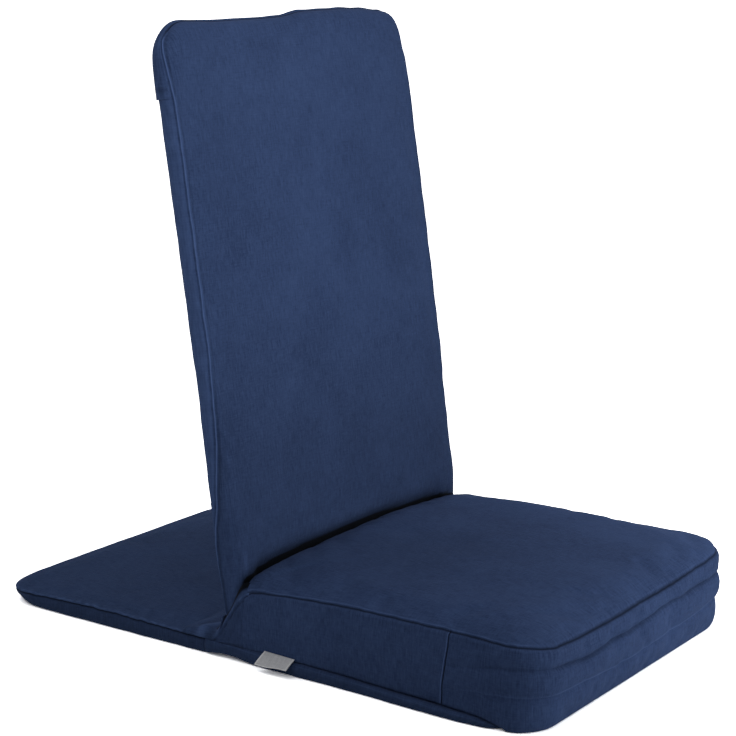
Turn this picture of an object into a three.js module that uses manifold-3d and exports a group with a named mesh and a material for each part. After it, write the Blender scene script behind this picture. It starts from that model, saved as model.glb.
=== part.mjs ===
// Folding floor chair: a box cushion on a thin base, a leaning back on a steel tube frame and a
// flat rear floor panel, three leaves that meet at one cloth joint with two hidden hinges.
// Millimetres, +Z up, the sitter faces -Y. The origin is the middle of the seat's flat underside.
import * as THREE from "three";
import { mergeVertices } from "three/addons/utils/BufferGeometryUtils.js";
import Module from "manifold-3d";

const wasm = await Module();
wasm.setup();

// Driving dimensions of the leaves
const chairWidth = 380;
const cushionDepth = 318;
const cushionTop = 77; // height of the top seam
const crownRise = 9;
const frontBulge = 5;
const drawIn = 3;
const cornerRadius = 38;
const rearCornerRadius = 14;
const boxingWall = 4.5; // cloth with its wadding lining
const creaseDepth = 2.4;
const creaseReach = 88; // how far the front creases run back along the sides

const baseThickness = 13;
const baseOverhang = 41; // soft stretch of the base behind the cushion
const baseFrontInset = 34;
// Top of the base from front to rear: share of the cushion's depth, share of the base's thickness
const baseProfileShares = [
  [0.107, 0.1],
  [0.132, 0.26],
  [0.198, 0.52],
  [0.318, 0.65],
  [0.475, 0.72],
  [0.66, 0.94],
  [0.8, 1],
];
const archRise = 3.5; // the soft stretch stands this far off the floor
const baseCornerRadius = 3;

const panelLength = 256;
const panelThickness = 16;
const panelCrown = 3;
const panelCornerRadius = 20;

const backTilt = 10; // degrees from upright
const backLength = 597; // along the leaf from the floor line
const backThickness = 22;
const backCornerRadius = 22;
const backOpeningHeight = 66;
const backCrown = 1.5;
const backCrownStart = 34; // above the joint
const hoodLength = 78;
const hoodProud = 1.5;
const hoodFront = 3; // the hood's side edges start this far behind the front face
const topWave = 5;
const sleeveTop = 154;
const sleeveBottom = 43;
const sleeveThickness = 2;
// Upper edge of the joint's side gussets: behind the crease, above the floor
const gussetEdge = [
  [25, 25],
  [18.6, 32],
  [9.4, 45.5],
  [1, 59],
  [-2.7, 64],
];

// Cloth, gaps and fits
const cloth = 1.2;
const gap = 0.3;
const seatGap = 0.5;
const edgeRadius = 4;
const overrun = 2; // how far a cutting body runs past a face

// Steel frames and hinges
const tubeDiameter = 12;
const tubeBore = 9.6;
const backBend = 26;
const panelBend = 30;
const tubeInset = 11; // from a leaf's side edge to the tube's axis
const backTubeEnd = 74;
const crossTubeDiameter = 10;
const backCrossHeight = 104;
const panelCrossInset = 30;
const spigotDiameter = 9;
const spigotLength = 20;
const armThickness = 3;
const armWidth = 10;
const barWidth = 6.4;
const barDrop = 9.2; // the panel arm's bar lies this far below the hinge axis
const barReach = 43;
const earRadius = 6;
const hingeDepth = 17; // hinge axis behind the back's front face
const hingeHeight = 33; // hinge axis along the back from the floor line
const pinDiameter = 4;
const pinFit = 0.1;
const pinHeadDiameter = 8;
const pinHeadLength = 1.6;
const lockDiscDiameter = 10;
const lockDiscThickness = 1.4;
const lockTeeth = 18;
const lockToothDepth = 0.8;
const rivetDiameter = 3;
const rivetHeadDiameter = 5;
const rivetHeadLength = 0.8;
const rivetFit = 0.15;

// Foam
const backFoamThickness = 6;
const backFoamInset = 8;
const panelFoamThickness = 9;

// Zip and tag
const zipEndInset = 45; // from the cushion's sides to the ends of the zip
const zipLength = chairWidth - 2 * zipEndInset;
const zipSlotLow = 31;
const zipSlotHigh = 55;
const flapThickness = 1.2;
const tapeThickness = 0.8;
const coilWidth = 2.6;
const coilDepth = 2.2;
const sliderLength = 10;
const sliderWidth = 8;
const sliderPlate = 1.2;
const pullLength = 14;
const pullWidth = 4;
const pullThickness = 1;
const tagWidth = 31;
const tagDrop = 19;
const tagThickness = 0.9;
const tagSetBack = 22; // from the cushion's rear edge to the tag
const tagLean = 45; // degrees

// Counts
const sides = 14;
const bendSteps = 6;
const arcSteps = 6;

// Places worked out from the driving dimensions
const half = chairWidth / 2;
const frontY = -cushionDepth / 2;
const creaseY = cushionDepth / 2;
const frontSeamY = frontY + frontBulge;
const tilt = THREE.MathUtils.degToRad(backTilt);
const backFootY = creaseY + seatGap - cushionTop * Math.tan(tilt); // back's front face on the floor
const cushionRearFoot = creaseY - drawIn;
const cushionFoot = gap;
const baseRearY = creaseY + baseOverhang;
const baseFrontY = frontY + baseFrontInset;
const archFrontY = creaseY - tagSetBack;
const panelFrontY = baseRearY + gap;
const panelRearY = panelFrontY + panelLength;
const tubeX = half - tubeInset;
const tubeRadius = tubeDiameter / 2;
const panelTubeZ = panelThickness / 2;
const backTubeY = backThickness - cloth - gap - tubeRadius;
const hingeY = backFootY + hingeDepth * Math.cos(tilt) + hingeHeight * Math.sin(tilt);
const hingeZ = hingeHeight * Math.cos(tilt) - hingeDepth * Math.sin(tilt);
const foldZ = cushionTop + crownRise + overrun;

const colours = {
  canvas: 0x1d2b4a,
  canvasDark: 0x18233c,
  foam: 0xe6dfc4,
  steel: 0x8b8f94,
  zinc: 0xb9bdc2,
  tape: 0x141b2c,
  tag: 0x8d8f92,
};
const finishes = {
  canvas: { color: colours.canvas, roughness: 0.95, metalness: 0 },
  canvasDark: { color: colours.canvasDark, roughness: 0.95, metalness: 0 },
  foam: { color: colours.foam, roughness: 1, metalness: 0 },
  steel: { color: colours.steel, roughness: 0.45, metalness: 0.9 },
  zinc: { color: colours.zinc, roughness: 0.35, metalness: 1 },
  tape: { color: colours.tape, roughness: 0.8, metalness: 0 },
  tag: { color: colours.tag, roughness: 0.7, metalness: 0 },
};

// Geometry helpers

// A plain geometry as a solid for joining and cutting.
function toSolid(geometry) {
  const plain = geometry.clone();
  plain.deleteAttribute("normal");
  plain.deleteAttribute("uv");
  const merged = mergeVertices(plain);
  return new wasm.Manifold(
    new wasm.Mesh({
      numProp: 3,
      vertProperties: new Float32Array(merged.attributes.position.array),
      triVerts: new Uint32Array(merged.index.array),
    }),
  );
}

function toGeometry(solid) {
  const mesh = solid.getMesh();
  const geometry = new THREE.BufferGeometry();
  geometry.setAttribute("position", new THREE.BufferAttribute(mesh.vertProperties, mesh.numProp));
  geometry.setIndex(new THREE.BufferAttribute(mesh.triVerts, 1));
  geometry.computeVertexNormals();
  return geometry;
}

function cut(body, ...tools) {
  return toGeometry(tools.reduce((solid, tool) => solid.subtract(toSolid(tool)), toSolid(body)));
}

function join(body, ...others) {
  return toGeometry(others.reduce((solid, other) => solid.add(toSolid(other)), toSolid(body)));
}

// Six times the volume that a closed triangle mesh holds, with a sign.
function volumeOf(points, triangles) {
  let sum = 0;
  for (let i = 0; i < triangles.length; i += 3) {
    const [a, b, c] = [points[triangles[i]], points[triangles[i + 1]], points[triangles[i + 2]]];
    sum += a.dot(new THREE.Vector3().crossVectors(b, c));
  }
  return sum;
}

function closedGeometry(points, triangles) {
  if (volumeOf(points, triangles) < 0) {
    triangles.reverse();
  }
  const geometry = new THREE.BufferGeometry().setFromPoints(points);
  geometry.setIndex(triangles);
  geometry.computeVertexNormals();
  return geometry;
}

// Triangles between neighbouring rings of the same count.
function bandTriangles(ringCount, count, wraps) {
  const triangles = [];
  const bands = wraps ? ringCount : ringCount - 1;
  for (let ring = 0; ring < bands; ring++) {
    for (let i = 0; i < count; i++) {
      const next = (i + 1) % count;
      const low = ring * count;
      const high = ((ring + 1) % ringCount) * count;
      triangles.push(low + i, low + next, high + next);
      triangles.push(low + i, high + next, high + i);
    }
  }
  return triangles;
}

// A closed body through rings of points, with a fan over each end.
function loft(rings) {
  const count = rings[0].length;
  const points = rings.flat();
  const triangles = bandTriangles(rings.length, count, false);
  const ends = [rings[0], rings[rings.length - 1]];
  ends.forEach((ring, end) => {
    const middle = ring.reduce((sum, point) => sum.add(point), new THREE.Vector3());
    const centre = points.push(middle.divideScalar(count)) - 1;
    const start = end === 0 ? 0 : (rings.length - 1) * count;
    for (let i = 0; i < count; i++) {
      const next = (i + 1) % count;
      const pair = end === 0 ? [start + next, start + i] : [start + i, start + next];
      triangles.push(centre, ...pair);
    }
  });
  return closedGeometry(points, triangles);
}

// Plan of a rectangle with round corners, counter-clockwise, each long side split for bending.
function roundPlan({ left, right, front, back, frontRadius, backRadius, corner = 6, split = 4 }) {
  const points = [];
  const corners = [
    [right - frontRadius, front + frontRadius, frontRadius, -Math.PI / 2],
    [right - backRadius, back - backRadius, backRadius, 0],
    [left + backRadius, back - backRadius, backRadius, Math.PI / 2],
    [left + frontRadius, front + frontRadius, frontRadius, Math.PI],
  ];
  corners.forEach(([x, y, radius, start]) => {
    for (let i = 0; i <= corner; i++) {
      const angle = start + (i / corner) * (Math.PI / 2);
      points.push([x + radius * Math.cos(angle), y + radius * Math.sin(angle)]);
    }
  });
  const full = [];
  points.forEach((point, i) => {
    full.push(point);
    if (i % (corner + 1) === corner) {
      const next = points[(i + 1) % points.length];
      for (let k = 1; k < split; k++) {
        const share = k / split;
        full.push([
          point[0] + (next[0] - point[0]) * share,
          point[1] + (next[1] - point[1]) * share,
        ]);
      }
    }
  });
  return full;
}

function box(low, high) {
  const size = high.map((value, i) => value - low[i]);
  const middle = high.map((value, i) => (value + low[i]) / 2);
  return new THREE.BoxGeometry(...size).translate(...middle);
}

// An outline in the YZ plane carried across the width.
function acrossWidth(outline, width, middleX = 0) {
  const shape = new THREE.Shape(outline.map(([y, z]) => new THREE.Vector2(y, z)));
  const geometry = new THREE.ExtrudeGeometry(shape, {
    depth: width,
    bevelEnabled: false,
  });
  const axes = new THREE.Matrix4().makeBasis(
    new THREE.Vector3(0, 1, 0),
    new THREE.Vector3(0, 0, 1),
    new THREE.Vector3(1, 0, 0),
  );
  return geometry.applyMatrix4(axes).translate(middleX - width / 2, 0, 0);
}

// A round bar along X, Y or Z, from its middle.
function bar(axis, diameter, length, x, y, z, count = sides) {
  const geometry = new THREE.CylinderGeometry(diameter / 2, diameter / 2, length, count);
  if (axis === "x") {
    geometry.rotateZ(Math.PI / 2);
  }
  if (axis === "z") {
    geometry.rotateX(Math.PI / 2);
  }
  return geometry.translate(x, y, z);
}

// A hollow tube bent in a plane: rings stand square to the path at each station.
function bentTube(stations, normal, outer, bore) {
  const rings = [];
  stations.forEach(({ point, along }) => {
    const side = new THREE.Vector3().crossVectors(along, normal);
    const ring = (radius) =>
      Array.from({ length: sides }, (_, i) => {
        const angle = (i / sides) * Math.PI * 2;
        return point
          .clone()
          .addScaledVector(side, radius * Math.cos(angle))
          .addScaledVector(normal, radius * Math.sin(angle));
      });
    rings.push([ring(outer / 2), ring(bore / 2)]);
  });
  const around = [...rings.map((pair) => pair[0]), ...rings.map((pair) => pair[1]).reverse()];
  return closedGeometry(around.flat(), bandTriangles(around.length, sides, true));
}

// Stations of a U: up one leg, round two bends, down the other. u is across, v along the legs.
function uStations(halfAcross, legStart, legEnd, radius, place, direction) {
  const stations = [];
  const add = (u, v, du, dv) =>
    stations.push({ point: place(u, v), along: direction(du, dv).normalize() });
  add(-halfAcross, legStart, 0, 1);
  [-1, 1].forEach((side) => {
    for (let i = 0; i <= bendSteps; i++) {
      const turn = (i / bendSteps) * (Math.PI / 2);
      const angle = side < 0 ? Math.PI - turn : Math.PI / 2 - turn;
      const u = side * (halfAcross - radius) + radius * Math.cos(angle);
      const v = legEnd - radius + radius * Math.sin(angle);
      add(u, v, Math.sin(angle), -Math.cos(angle));
    }
  });
  add(halfAcross, legStart, 0, -1);
  return stations;
}

const blendShare = (value, from, to) => {
  const share = THREE.MathUtils.clamp((value - from) / (to - from), 0, 1);
  return share * share * (3 - 2 * share);
};

const chair = new THREE.Group();
const seat = new THREE.Group();
const panel = new THREE.Group();
const back = new THREE.Group(); // the back is drawn upright, front face at y = 0, then leant
back.position.set(0, backFootY, 0);
back.rotation.x = -tilt;
chair.add(seat, back, panel);

function piece(group, name, geometry, finish) {
  const mesh = new THREE.Mesh(geometry, new THREE.MeshStandardMaterial(finishes[finish]));
  mesh.name = name;
  group.add(mesh);
}

// Seat cushion

// One level of the cushion: in is drawn inwards all round, groove only where the creases run.
function cushionRing(z, bulge, inward, groove = 0, fine = true) {
  const leaning = creaseY - Math.max(0, cushionTop - z) * Math.tan(tilt);
  const rearY = Math.max(cushionRearFoot, leaning);
  const outline = (inset) =>
    roundPlan({
      left: -half + inset,
      right: half - inset,
      front: frontSeamY - bulge + inset,
      back: rearY - inset,
      frontRadius: Math.max(cornerRadius - inset, edgeRadius),
      backRadius: Math.max(rearCornerRadius - inset, edgeRadius),
      corner: fine ? 6 : 3,
      split: fine ? 4 : 2,
    });
  const plain = outline(inward);
  const drawn = outline(inward + groove);
  return plain.map(([x, y], i) => {
    const share = 1 - blendShare(y, frontY + creaseReach / 2, frontY + creaseReach);
    const px = THREE.MathUtils.lerp(x, drawn[i][0], share);
    const py = THREE.MathUtils.lerp(y, drawn[i][1], share);
    const along = THREE.MathUtils.clamp((py - frontY) / cushionDepth, 0, 1);
    const pull = drawIn * Math.sin(Math.PI * along) * Math.sign(px) * Math.min(1, Math.abs(px) / half);
    return new THREE.Vector3(px - pull, py, z);
  });
}

// The cushion's outer levels as shares of its height, with the bulge and crease at each.
function cushionOutside() {
  const height = cushionTop - cushionFoot;
  const levels = [
    [0, 0, 1, 0],
    [0.03, 0.2, 0.3, 0],
    [0.17, 0.5, 0, 0],
    [0.32, 0.75, 0, 0.2],
    [0.36, 0.8, 0, 1],
    [0.4, 0.85, 0, 0.2],
    [0.55, 1, 0, 0],
    [0.7, 0.85, 0, 0.2],
    [0.74, 0.8, 0, 1],
    [0.78, 0.7, 0, 0.2],
    [0.9, 0.35, 0, 0],
    [1, 0, 0.3, 0],
  ];
  const rings = levels.map(([share, bulgeShare, insetShare, grooveShare]) =>
    cushionRing(
      cushionFoot + height * share,
      frontBulge * bulgeShare,
      edgeRadius * insetShare,
      creaseDepth * grooveShare,
    ),
  );
  const crownShares = [
    [0.03, 0.2],
    [0.12, 0.5],
    [0.3, 0.78],
    [0.55, 0.94],
    [0.8, 1],
  ];
  crownShares.forEach(([insetShare, riseShare]) => {
    rings.push(cushionRing(cushionTop + crownRise * riseShare, 0, half * insetShare));
  });
  return rings;
}

function cushionInside(inset, foot, top) {
  return loft([
    cushionRing(foot, 0, inset, 0, false),
    cushionRing(top - edgeRadius, 0, inset, 0, false),
    cushionRing(top, 0, inset + edgeRadius, 0, false),
    cushionRing(top + crownRise * 0.55, 0, half * 0.3, 0, false),
    cushionRing(top + crownRise * 0.8, 0, half * 0.7, 0, false),
  ]);
}

// Everything under the base's top face, raised by a clearance, for trimming what stands on it
const baseProfile = baseProfileShares.map(([along, share]) => [
  frontY + cushionDepth * along,
  baseThickness * share,
]);
function underBase(clearance) {
  const low = -baseThickness;
  const rear = baseRearY + overrun;
  const top = baseProfile.map(([y, z]) => [y, z + clearance]);
  const outline = [[top[0][0], low], [rear, low], [rear, baseThickness + clearance]];
  return acrossWidth([...outline, ...top.reverse()], chairWidth + cornerRadius);
}

const liningTop = cushionTop - boxingWall;
const zipMiddle = (zipSlotLow + zipSlotHigh) / 2;
const zipBackY = frontSeamY + boxingWall;

piece(
  seat,
  "seat_cover",
  cut(
    loft(cushionOutside()),
    cushionInside(boxingWall, cushionFoot + cloth, liningTop),
    underBase(gap),
    box([-zipLength / 2, frontY - overrun, zipSlotLow], [zipLength / 2, zipBackY + overrun, zipSlotHigh]),
  ),
  "canvas",
);
piece(
  seat,
  "seat_foam_block",
  cut(
    cushionInside(boxingWall + gap, cushionFoot + cloth + gap, liningTop - gap),
    underBase(2 * gap),
  ),
  "foam",
);

// Zip in the front boxing, behind its flap
const flapOutline = [];
for (let i = 0; i <= arcSteps; i++) {
  const share = i / arcSteps;
  const z = THREE.MathUtils.lerp(zipSlotLow + gap, zipSlotHigh - gap, share);
  flapOutline.push([frontY + frontBulge * 0.2 * (2 * share - 1) ** 2, z]);
}
const flapInner = flapOutline.map(([y, z]) => [y + flapThickness, z]).reverse();
const runLength = zipLength - 2 * gap;
piece(seat, "zip_flap", acrossWidth([...flapOutline, ...flapInner], runLength), "canvas");

const tapeY = zipBackY - tapeThickness;
const coilHalf = coilWidth / 2;
piece(
  seat,
  "zip_tape_upper",
  box(
    [-runLength / 2, tapeY, zipMiddle + coilHalf + gap],
    [runLength / 2, zipBackY, zipSlotHigh - gap],
  ),
  "tape",
);
piece(
  seat,
  "zip_tape_lower",
  box(
    [-runLength / 2, tapeY, zipSlotLow + gap],
    [runLength / 2, zipBackY, zipMiddle - coilHalf - gap],
  ),
  "tape",
);
piece(
  seat,
  "zip_coil",
  box(
    [-runLength / 2, zipBackY - coilDepth, zipMiddle - coilHalf],
    [runLength / 2, zipBackY, zipMiddle + coilHalf],
  ),
  "tape",
);

// The slider straddles the coil, with a pull tab hanging from its lug.
const sliderX = -zipLength / 2 + sliderLength;
const sliderBackY = tapeY - gap;
const sliderFrontY = zipBackY - coilDepth - gap - sliderPlate;
const sliderHalfLength = sliderLength / 2;
const sliderBody = cut(
  box(
    [sliderX - sliderHalfLength, sliderFrontY, zipMiddle - sliderWidth / 2],
    [sliderX + sliderHalfLength, sliderBackY, zipMiddle + sliderWidth / 2],
  ),
  box(
    [sliderX - sliderLength, sliderFrontY + sliderPlate, zipMiddle - coilHalf - gap],
    [sliderX + sliderLength, sliderBackY + overrun, zipMiddle + coilHalf + gap],
  ),
);
piece(
  seat,
  "zip_slider",
  join(
    sliderBody,
    box(
      [sliderX - pullWidth / 2, sliderFrontY - pullThickness, zipMiddle - pullLength / 2 - coilWidth],
      [sliderX + pullWidth / 2, sliderFrontY + sliderPlate / 2, zipMiddle + coilHalf],
    ),
  ),
  "zinc",
);

// Seat base: a thin sleeve with a foam sheet, run on behind the cushion as the soft stretch
function baseRing(y, inset, bottom, top) {
  const radius = Math.max(baseCornerRadius - inset / 2, gap);
  const width = half - inset;
  const height = top - bottom;
  const bend = Math.min(radius, height / 2 - gap);
  return roundPlan({
    left: -width,
    right: width,
    front: bottom,
    back: top,
    frontRadius: bend / 2,
    backRadius: bend,
    corner: 3,
    split: 2,
  }).map(([x, z]) => new THREE.Vector3(x, y, z));
}

const archMiddle = (archFrontY + baseRearY) / 2;
const archEase = archRise * 0.7;
const archStations = [
  [archFrontY, 0],
  [THREE.MathUtils.lerp(archFrontY, archMiddle, 0.5), archEase],
  [archMiddle, archRise],
  [THREE.MathUtils.lerp(archMiddle, baseRearY, 0.5), archEase],
  [baseRearY, 0],
];
const baseOutside = loft([
  ...baseProfile.map(([y, z], i) => baseRing(y, i === 0 ? cornerRadius / 4 : 0, 0, z)),
  ...archStations.map(([y, rise]) => baseRing(y, 0, rise, baseThickness)),
]);
// The pocket follows the base's top face, one cloth thickness below it.
const foamRearY = archFrontY - boxingWall;
function basePocket(clearance) {
  const top = baseProfile.slice(2).map(([y, z]) => [y, z - cloth - clearance]);
  top[0][0] += clearance;
  const rear = foamRearY - clearance;
  const foot = cloth + clearance;
  const outline = [[top[0][0], foot], [rear, foot], [rear, baseThickness - cloth - clearance]];
  return acrossWidth([...outline, ...top.reverse()], chairWidth - 2 * (boxingWall + clearance));
}
piece(
  seat,
  "seat_base_sleeve",
  cut(
    baseOutside,
    basePocket(0),
    box(
      [-half + boxingWall, foamRearY - overrun, baseThickness - cloth - overrun],
      [half - boxingWall, baseRearY + overrun, baseThickness - cloth],
    ),
  ),
  "canvasDark",
);
piece(seat, "seat_base_foam", basePocket(gap), "foam");

// Woven side tag: a folded strip that leans out of the seam under the cushion
const tagRearY = creaseY - tagSetBack;
const tagGeometry = new THREE.BoxGeometry(tagThickness, tagWidth, tagDrop)
  .translate(-tagThickness / 2, 0, -tagDrop / 2)
  .rotateY(THREE.MathUtils.degToRad(tagLean))
  .translate(-half + gap, tagRearY - tagWidth / 2, baseThickness + tagThickness);
piece(seat, "side_tag", tagGeometry, "tag");

// Back leaf, drawn upright: x across, y through the leaf, z along it

// One level through the thickness of an upright slab with round top corners and a wavy top edge.
function slabRing({ halfWidth, bottom, top, radius, y, inset, wave = 0, fine = true }) {
  const plan = roundPlan({
    left: -halfWidth + inset,
    right: halfWidth - inset,
    front: bottom,
    back: top - inset,
    frontRadius: gap,
    backRadius: Math.max(radius - inset, edgeRadius),
    corner: fine ? 6 : 4,
    split: 4,
  });
  return plan.map(([x, z]) => {
    const high = blendShare(z, top - 2 * radius, top - radius);
    const lift = wave * high * blendShare(x, -halfWidth / 4, halfWidth / 4);
    return new THREE.Vector3(x, y, z - wave * high + lift);
  });
}

function slab({ halfWidth, bottom, top, radius, front, rear, round, crown = 0, wave = 0, fine = true }) {
  const level = (y, inset, start = 0) =>
    slabRing({ halfWidth, bottom: bottom + start, top, radius, y, inset, wave, fine });
  const rings = [
    level(front - crown, round * 8, backCrownStart * 2),
    level(front - crown * 0.6, round * 3, backCrownStart),
    level(front, round),
    level(front + round * 0.3, round * 0.3),
    level(front + round, 0),
    level(rear - round, 0),
    level(rear - round * 0.3, round * 0.3),
    level(rear, round),
  ];
  return loft(crown > 0 ? rings : rings.slice(2));
}

const coverHalf = half - hoodProud - gap;
const coverTop = backLength - hoodProud - gap;
const coverShape = {
  halfWidth: coverHalf,
  radius: backCornerRadius,
  wave: topWave,
};
// The cover's own form, grown by a clearance on every face but its lower end
const coverForm = (grow, fine = true) =>
  slab({
    halfWidth: coverHalf + grow,
    bottom: backOpeningHeight - Math.max(0, -grow * 2),
    top: coverTop + grow,
    radius: backCornerRadius + grow,
    front: -grow,
    rear: backThickness + grow,
    round: edgeRadius,
    crown: backCrown,
    wave: topWave,
    fine,
  });
piece(back, "back_cover", cut(coverForm(0), coverForm(-cloth, false)), "canvas");

const foamFront = cloth + gap;
piece(
  back,
  "back_foam_pad",
  slab({
    ...coverShape,
    halfWidth: coverHalf - backFoamInset / 2,
    bottom: backOpeningHeight + backFoamInset,
    top: coverTop - backFoamInset / 2,
    front: foamFront,
    rear: Math.min(foamFront + backFoamThickness, backTubeY - tubeRadius - gap),
    round: cloth,
    fine: false,
  }),
  "foam",
);

// The hood is the front panel's own cloth carried over the top and down the rear, like a pocket:
// it lies on the sides and the rear, and is hemmed along its lower edge.
const hoodBottom = backLength - hoodLength;
const hemHeight = 8;
piece(
  back,
  "back_hood",
  cut(
    coverForm(gap + hoodProud),
    coverForm(gap),
    box([-half, -half, -half], [half, half, hoodBottom]),
    box([-half - overrun, -half, -half], [half + overrun, hoodFront, backLength + half]),
  ),
  "canvas",
);
piece(
  back,
  "hood_hem",
  box(
    [-half + cornerRadius, backThickness + hoodProud + 2 * gap, hoodBottom],
    [half - cornerRadius, backThickness + hoodProud + 2 * gap + cloth, hoodBottom + hemHeight],
  ),
  "canvas",
);

// The lower sleeve is a second layer of cloth on the rear of the back, above the joint.
const sleeveFront = backThickness + gap;
piece(
  back,
  "back_lower_sleeve",
  slab({
    halfWidth: coverHalf,
    bottom: sleeveBottom,
    top: sleeveTop,
    radius: edgeRadius,
    front: sleeveFront,
    rear: sleeveFront + sleeveThickness,
    round: sleeveThickness / 4,
    fine: false,
  }),
  "canvasDark",
);

const backTop = coverTop - cloth - gap - topWave - tubeRadius;
const backPlace = (u, v) => new THREE.Vector3(u, backTubeY, v);
const backDirection = (du, dv) => new THREE.Vector3(du, 0, dv);
const rivetHeight = backTubeEnd + spigotLength / 2;
const rivetHoleDiameter = rivetDiameter + 2 * rivetFit;
const sidesOfChair = [
  ["left", -1],
  ["right", 1],
];
const rivetHoles = (y, z) =>
  sidesOfChair.map(([, side]) => bar("x", rivetHoleDiameter, tubeDiameter * 2, side * tubeX, y, z));
piece(
  back,
  "back_frame_tube",
  cut(
    bentTube(
      uStations(tubeX, backTubeEnd, backTop, backBend, backPlace, backDirection),
      new THREE.Vector3(0, 1, 0),
      tubeDiameter,
      tubeBore,
    ),
    ...rivetHoles(backTubeY, rivetHeight),
  ),
  "steel",
);
const crossLength = 2 * (tubeX - tubeRadius - gap);
piece(
  back,
  "back_cross_tube",
  bar("x", crossTubeDiameter, crossLength, 0, backTubeY, backCrossHeight),
  "steel",
);

// Rear floor panel
const panelOutside = {
  halfWidth: half,
  radius: panelCornerRadius,
  bottom: panelFrontY,
  top: panelRearY,
  front: 0,
  rear: panelThickness,
  round: edgeRadius,
};
// A slab is drawn upright; laid down, its length runs along Y and its thickness along Z.
const lay = (geometry) => {
  const axes = new THREE.Matrix4().makeBasis(
    new THREE.Vector3(1, 0, 0),
    new THREE.Vector3(0, 0, 1),
    new THREE.Vector3(0, 1, 0),
  );
  const laid = geometry.clone().applyMatrix4(axes);
  const position = laid.attributes.position;
  const points = Array.from({ length: position.count }, (_, i) =>
    new THREE.Vector3().fromBufferAttribute(position, i),
  );
  return closedGeometry(points, Array.from(laid.index.array));
};
function layCrowned(geometry, rise) {
  const laid = lay(geometry);
  const position = laid.attributes.position;
  for (let i = 0; i < position.count; i++) {
    const across = 1 - (position.getX(i) / half) ** 2;
    const along = (position.getY(i) - panelFrontY) / panelLength;
    const swell = Math.max(0, across) * Math.sin(Math.PI * THREE.MathUtils.clamp(along, 0, 1));
    const height = position.getZ(i);
    position.setZ(i, height + (rise * swell * height) / panelThickness);
  }
  return laid;
}

const notchReach = barReach - (panelFrontY - hingeY) + tubeDiameter / 2 + gap;
const armSpan = armThickness + 2 * gap;
const armNotches = sidesOfChair.map(([, side]) =>
  box(
    [side * tubeX - tubeRadius - gap, panelFrontY - overrun, cloth + gap],
    [side * tubeX + tubeRadius + gap, panelFrontY + notchReach, panelThickness + overrun],
  ),
);
piece(
  panel,
  "panel_cover",
  cut(
    layCrowned(slab(panelOutside), panelCrown),
    layCrowned(
      slab({
        ...panelOutside,
        halfWidth: half - cloth,
        bottom: panelFrontY - overrun,
        top: panelRearY - cloth,
        radius: panelCornerRadius - cloth,
        front: cloth,
        rear: panelThickness - cloth,
        round: edgeRadius - cloth,
        fine: false,
      }),
      panelCrown,
    ),
    ...armNotches,
  ),
  "canvasDark",
);

const panelTubeEnd = hingeY + barReach + gap;
const panelTop = panelRearY - cloth - gap - tubeRadius - edgeRadius;
const panelPlace = (u, v) => new THREE.Vector3(u, v, panelTubeZ);
const panelDirection = (du, dv) => new THREE.Vector3(du, dv, 0);
const panelRivetY = panelTubeEnd + spigotLength / 2;
piece(
  panel,
  "panel_frame_tube",
  cut(
    bentTube(
      uStations(tubeX, panelTubeEnd, panelTop, panelBend, panelPlace, panelDirection),
      new THREE.Vector3(0, 0, 1),
      tubeDiameter,
      tubeBore,
    ),
    ...rivetHoles(panelRivetY, panelTubeZ),
  ),
  "steel",
);
const panelCrossY = panelTubeEnd + panelCrossInset;
piece(
  panel,
  "panel_cross_tube",
  bar("x", crossTubeDiameter, crossLength, 0, panelCrossY, panelTubeZ),
  "steel",
);
const foamHalf = tubeX - tubeRadius - 2 * gap;
piece(
  panel,
  "panel_foam_sheet",
  layCrowned(
    slab({
      halfWidth: foamHalf,
      radius: panelBend,
      bottom: panelCrossY + crossTubeDiameter / 2 + gap,
      top: panelTop - tubeRadius - gap,
      front: cloth + gap,
      rear: panelThickness - cloth - gap,
      round: cloth,
      fine: false,
    }),
    panelCrown / 2,
  ),
  "foam",
);

// Hinges: a panel arm and a back arm side by side on one pin, each plugged into its tube
const discGap = lockDiscThickness / 2 + gap;
const panelArmX = discGap + armThickness / 2;
const backArmX = -panelArmX;

const earOutline = (y, z, radius, from, to, steps = 10) =>
  Array.from({ length: steps + 1 }, (_, i) => {
    const angle = THREE.MathUtils.degToRad(from + ((to - from) * i) / steps);
    return [y + radius * Math.cos(angle), z + radius * Math.sin(angle)];
  });

// The panel arm drops from its ear, runs back above the soft base and turns down to its spigot.
function panelArm(side) {
  const barTop = hingeZ - barDrop;
  const barLow = barTop - barWidth;
  const endY = hingeY + barReach;
  const outline = [
    ...earOutline(hingeY, hingeZ, earRadius, 0, 180),
    [hingeY - earRadius, barTop],
    [hingeY, barLow],
    [endY - armWidth, barLow],
    [endY - armWidth + gap, cloth + 2 * gap],
    [endY, cloth + 2 * gap],
    [endY, barTop],
    [hingeY + earRadius, barTop],
  ];
  const x = side * (tubeX + panelArmX);
  const spigot = bar(
    "y",
    spigotDiameter,
    spigotLength + armWidth / 2,
    side * tubeX,
    endY + (spigotLength - armWidth / 2) / 2,
    panelTubeZ,
  );
  return cut(
    join(acrossWidth(outline, armThickness, x), spigot),
    bar("x", pinDiameter + 2 * pinFit, armThickness * 4, x, hingeY, hingeZ),
    bar("x", rivetHoleDiameter, tubeDiameter * 2, side * tubeX, panelRivetY, panelTubeZ),
  );
}

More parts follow.
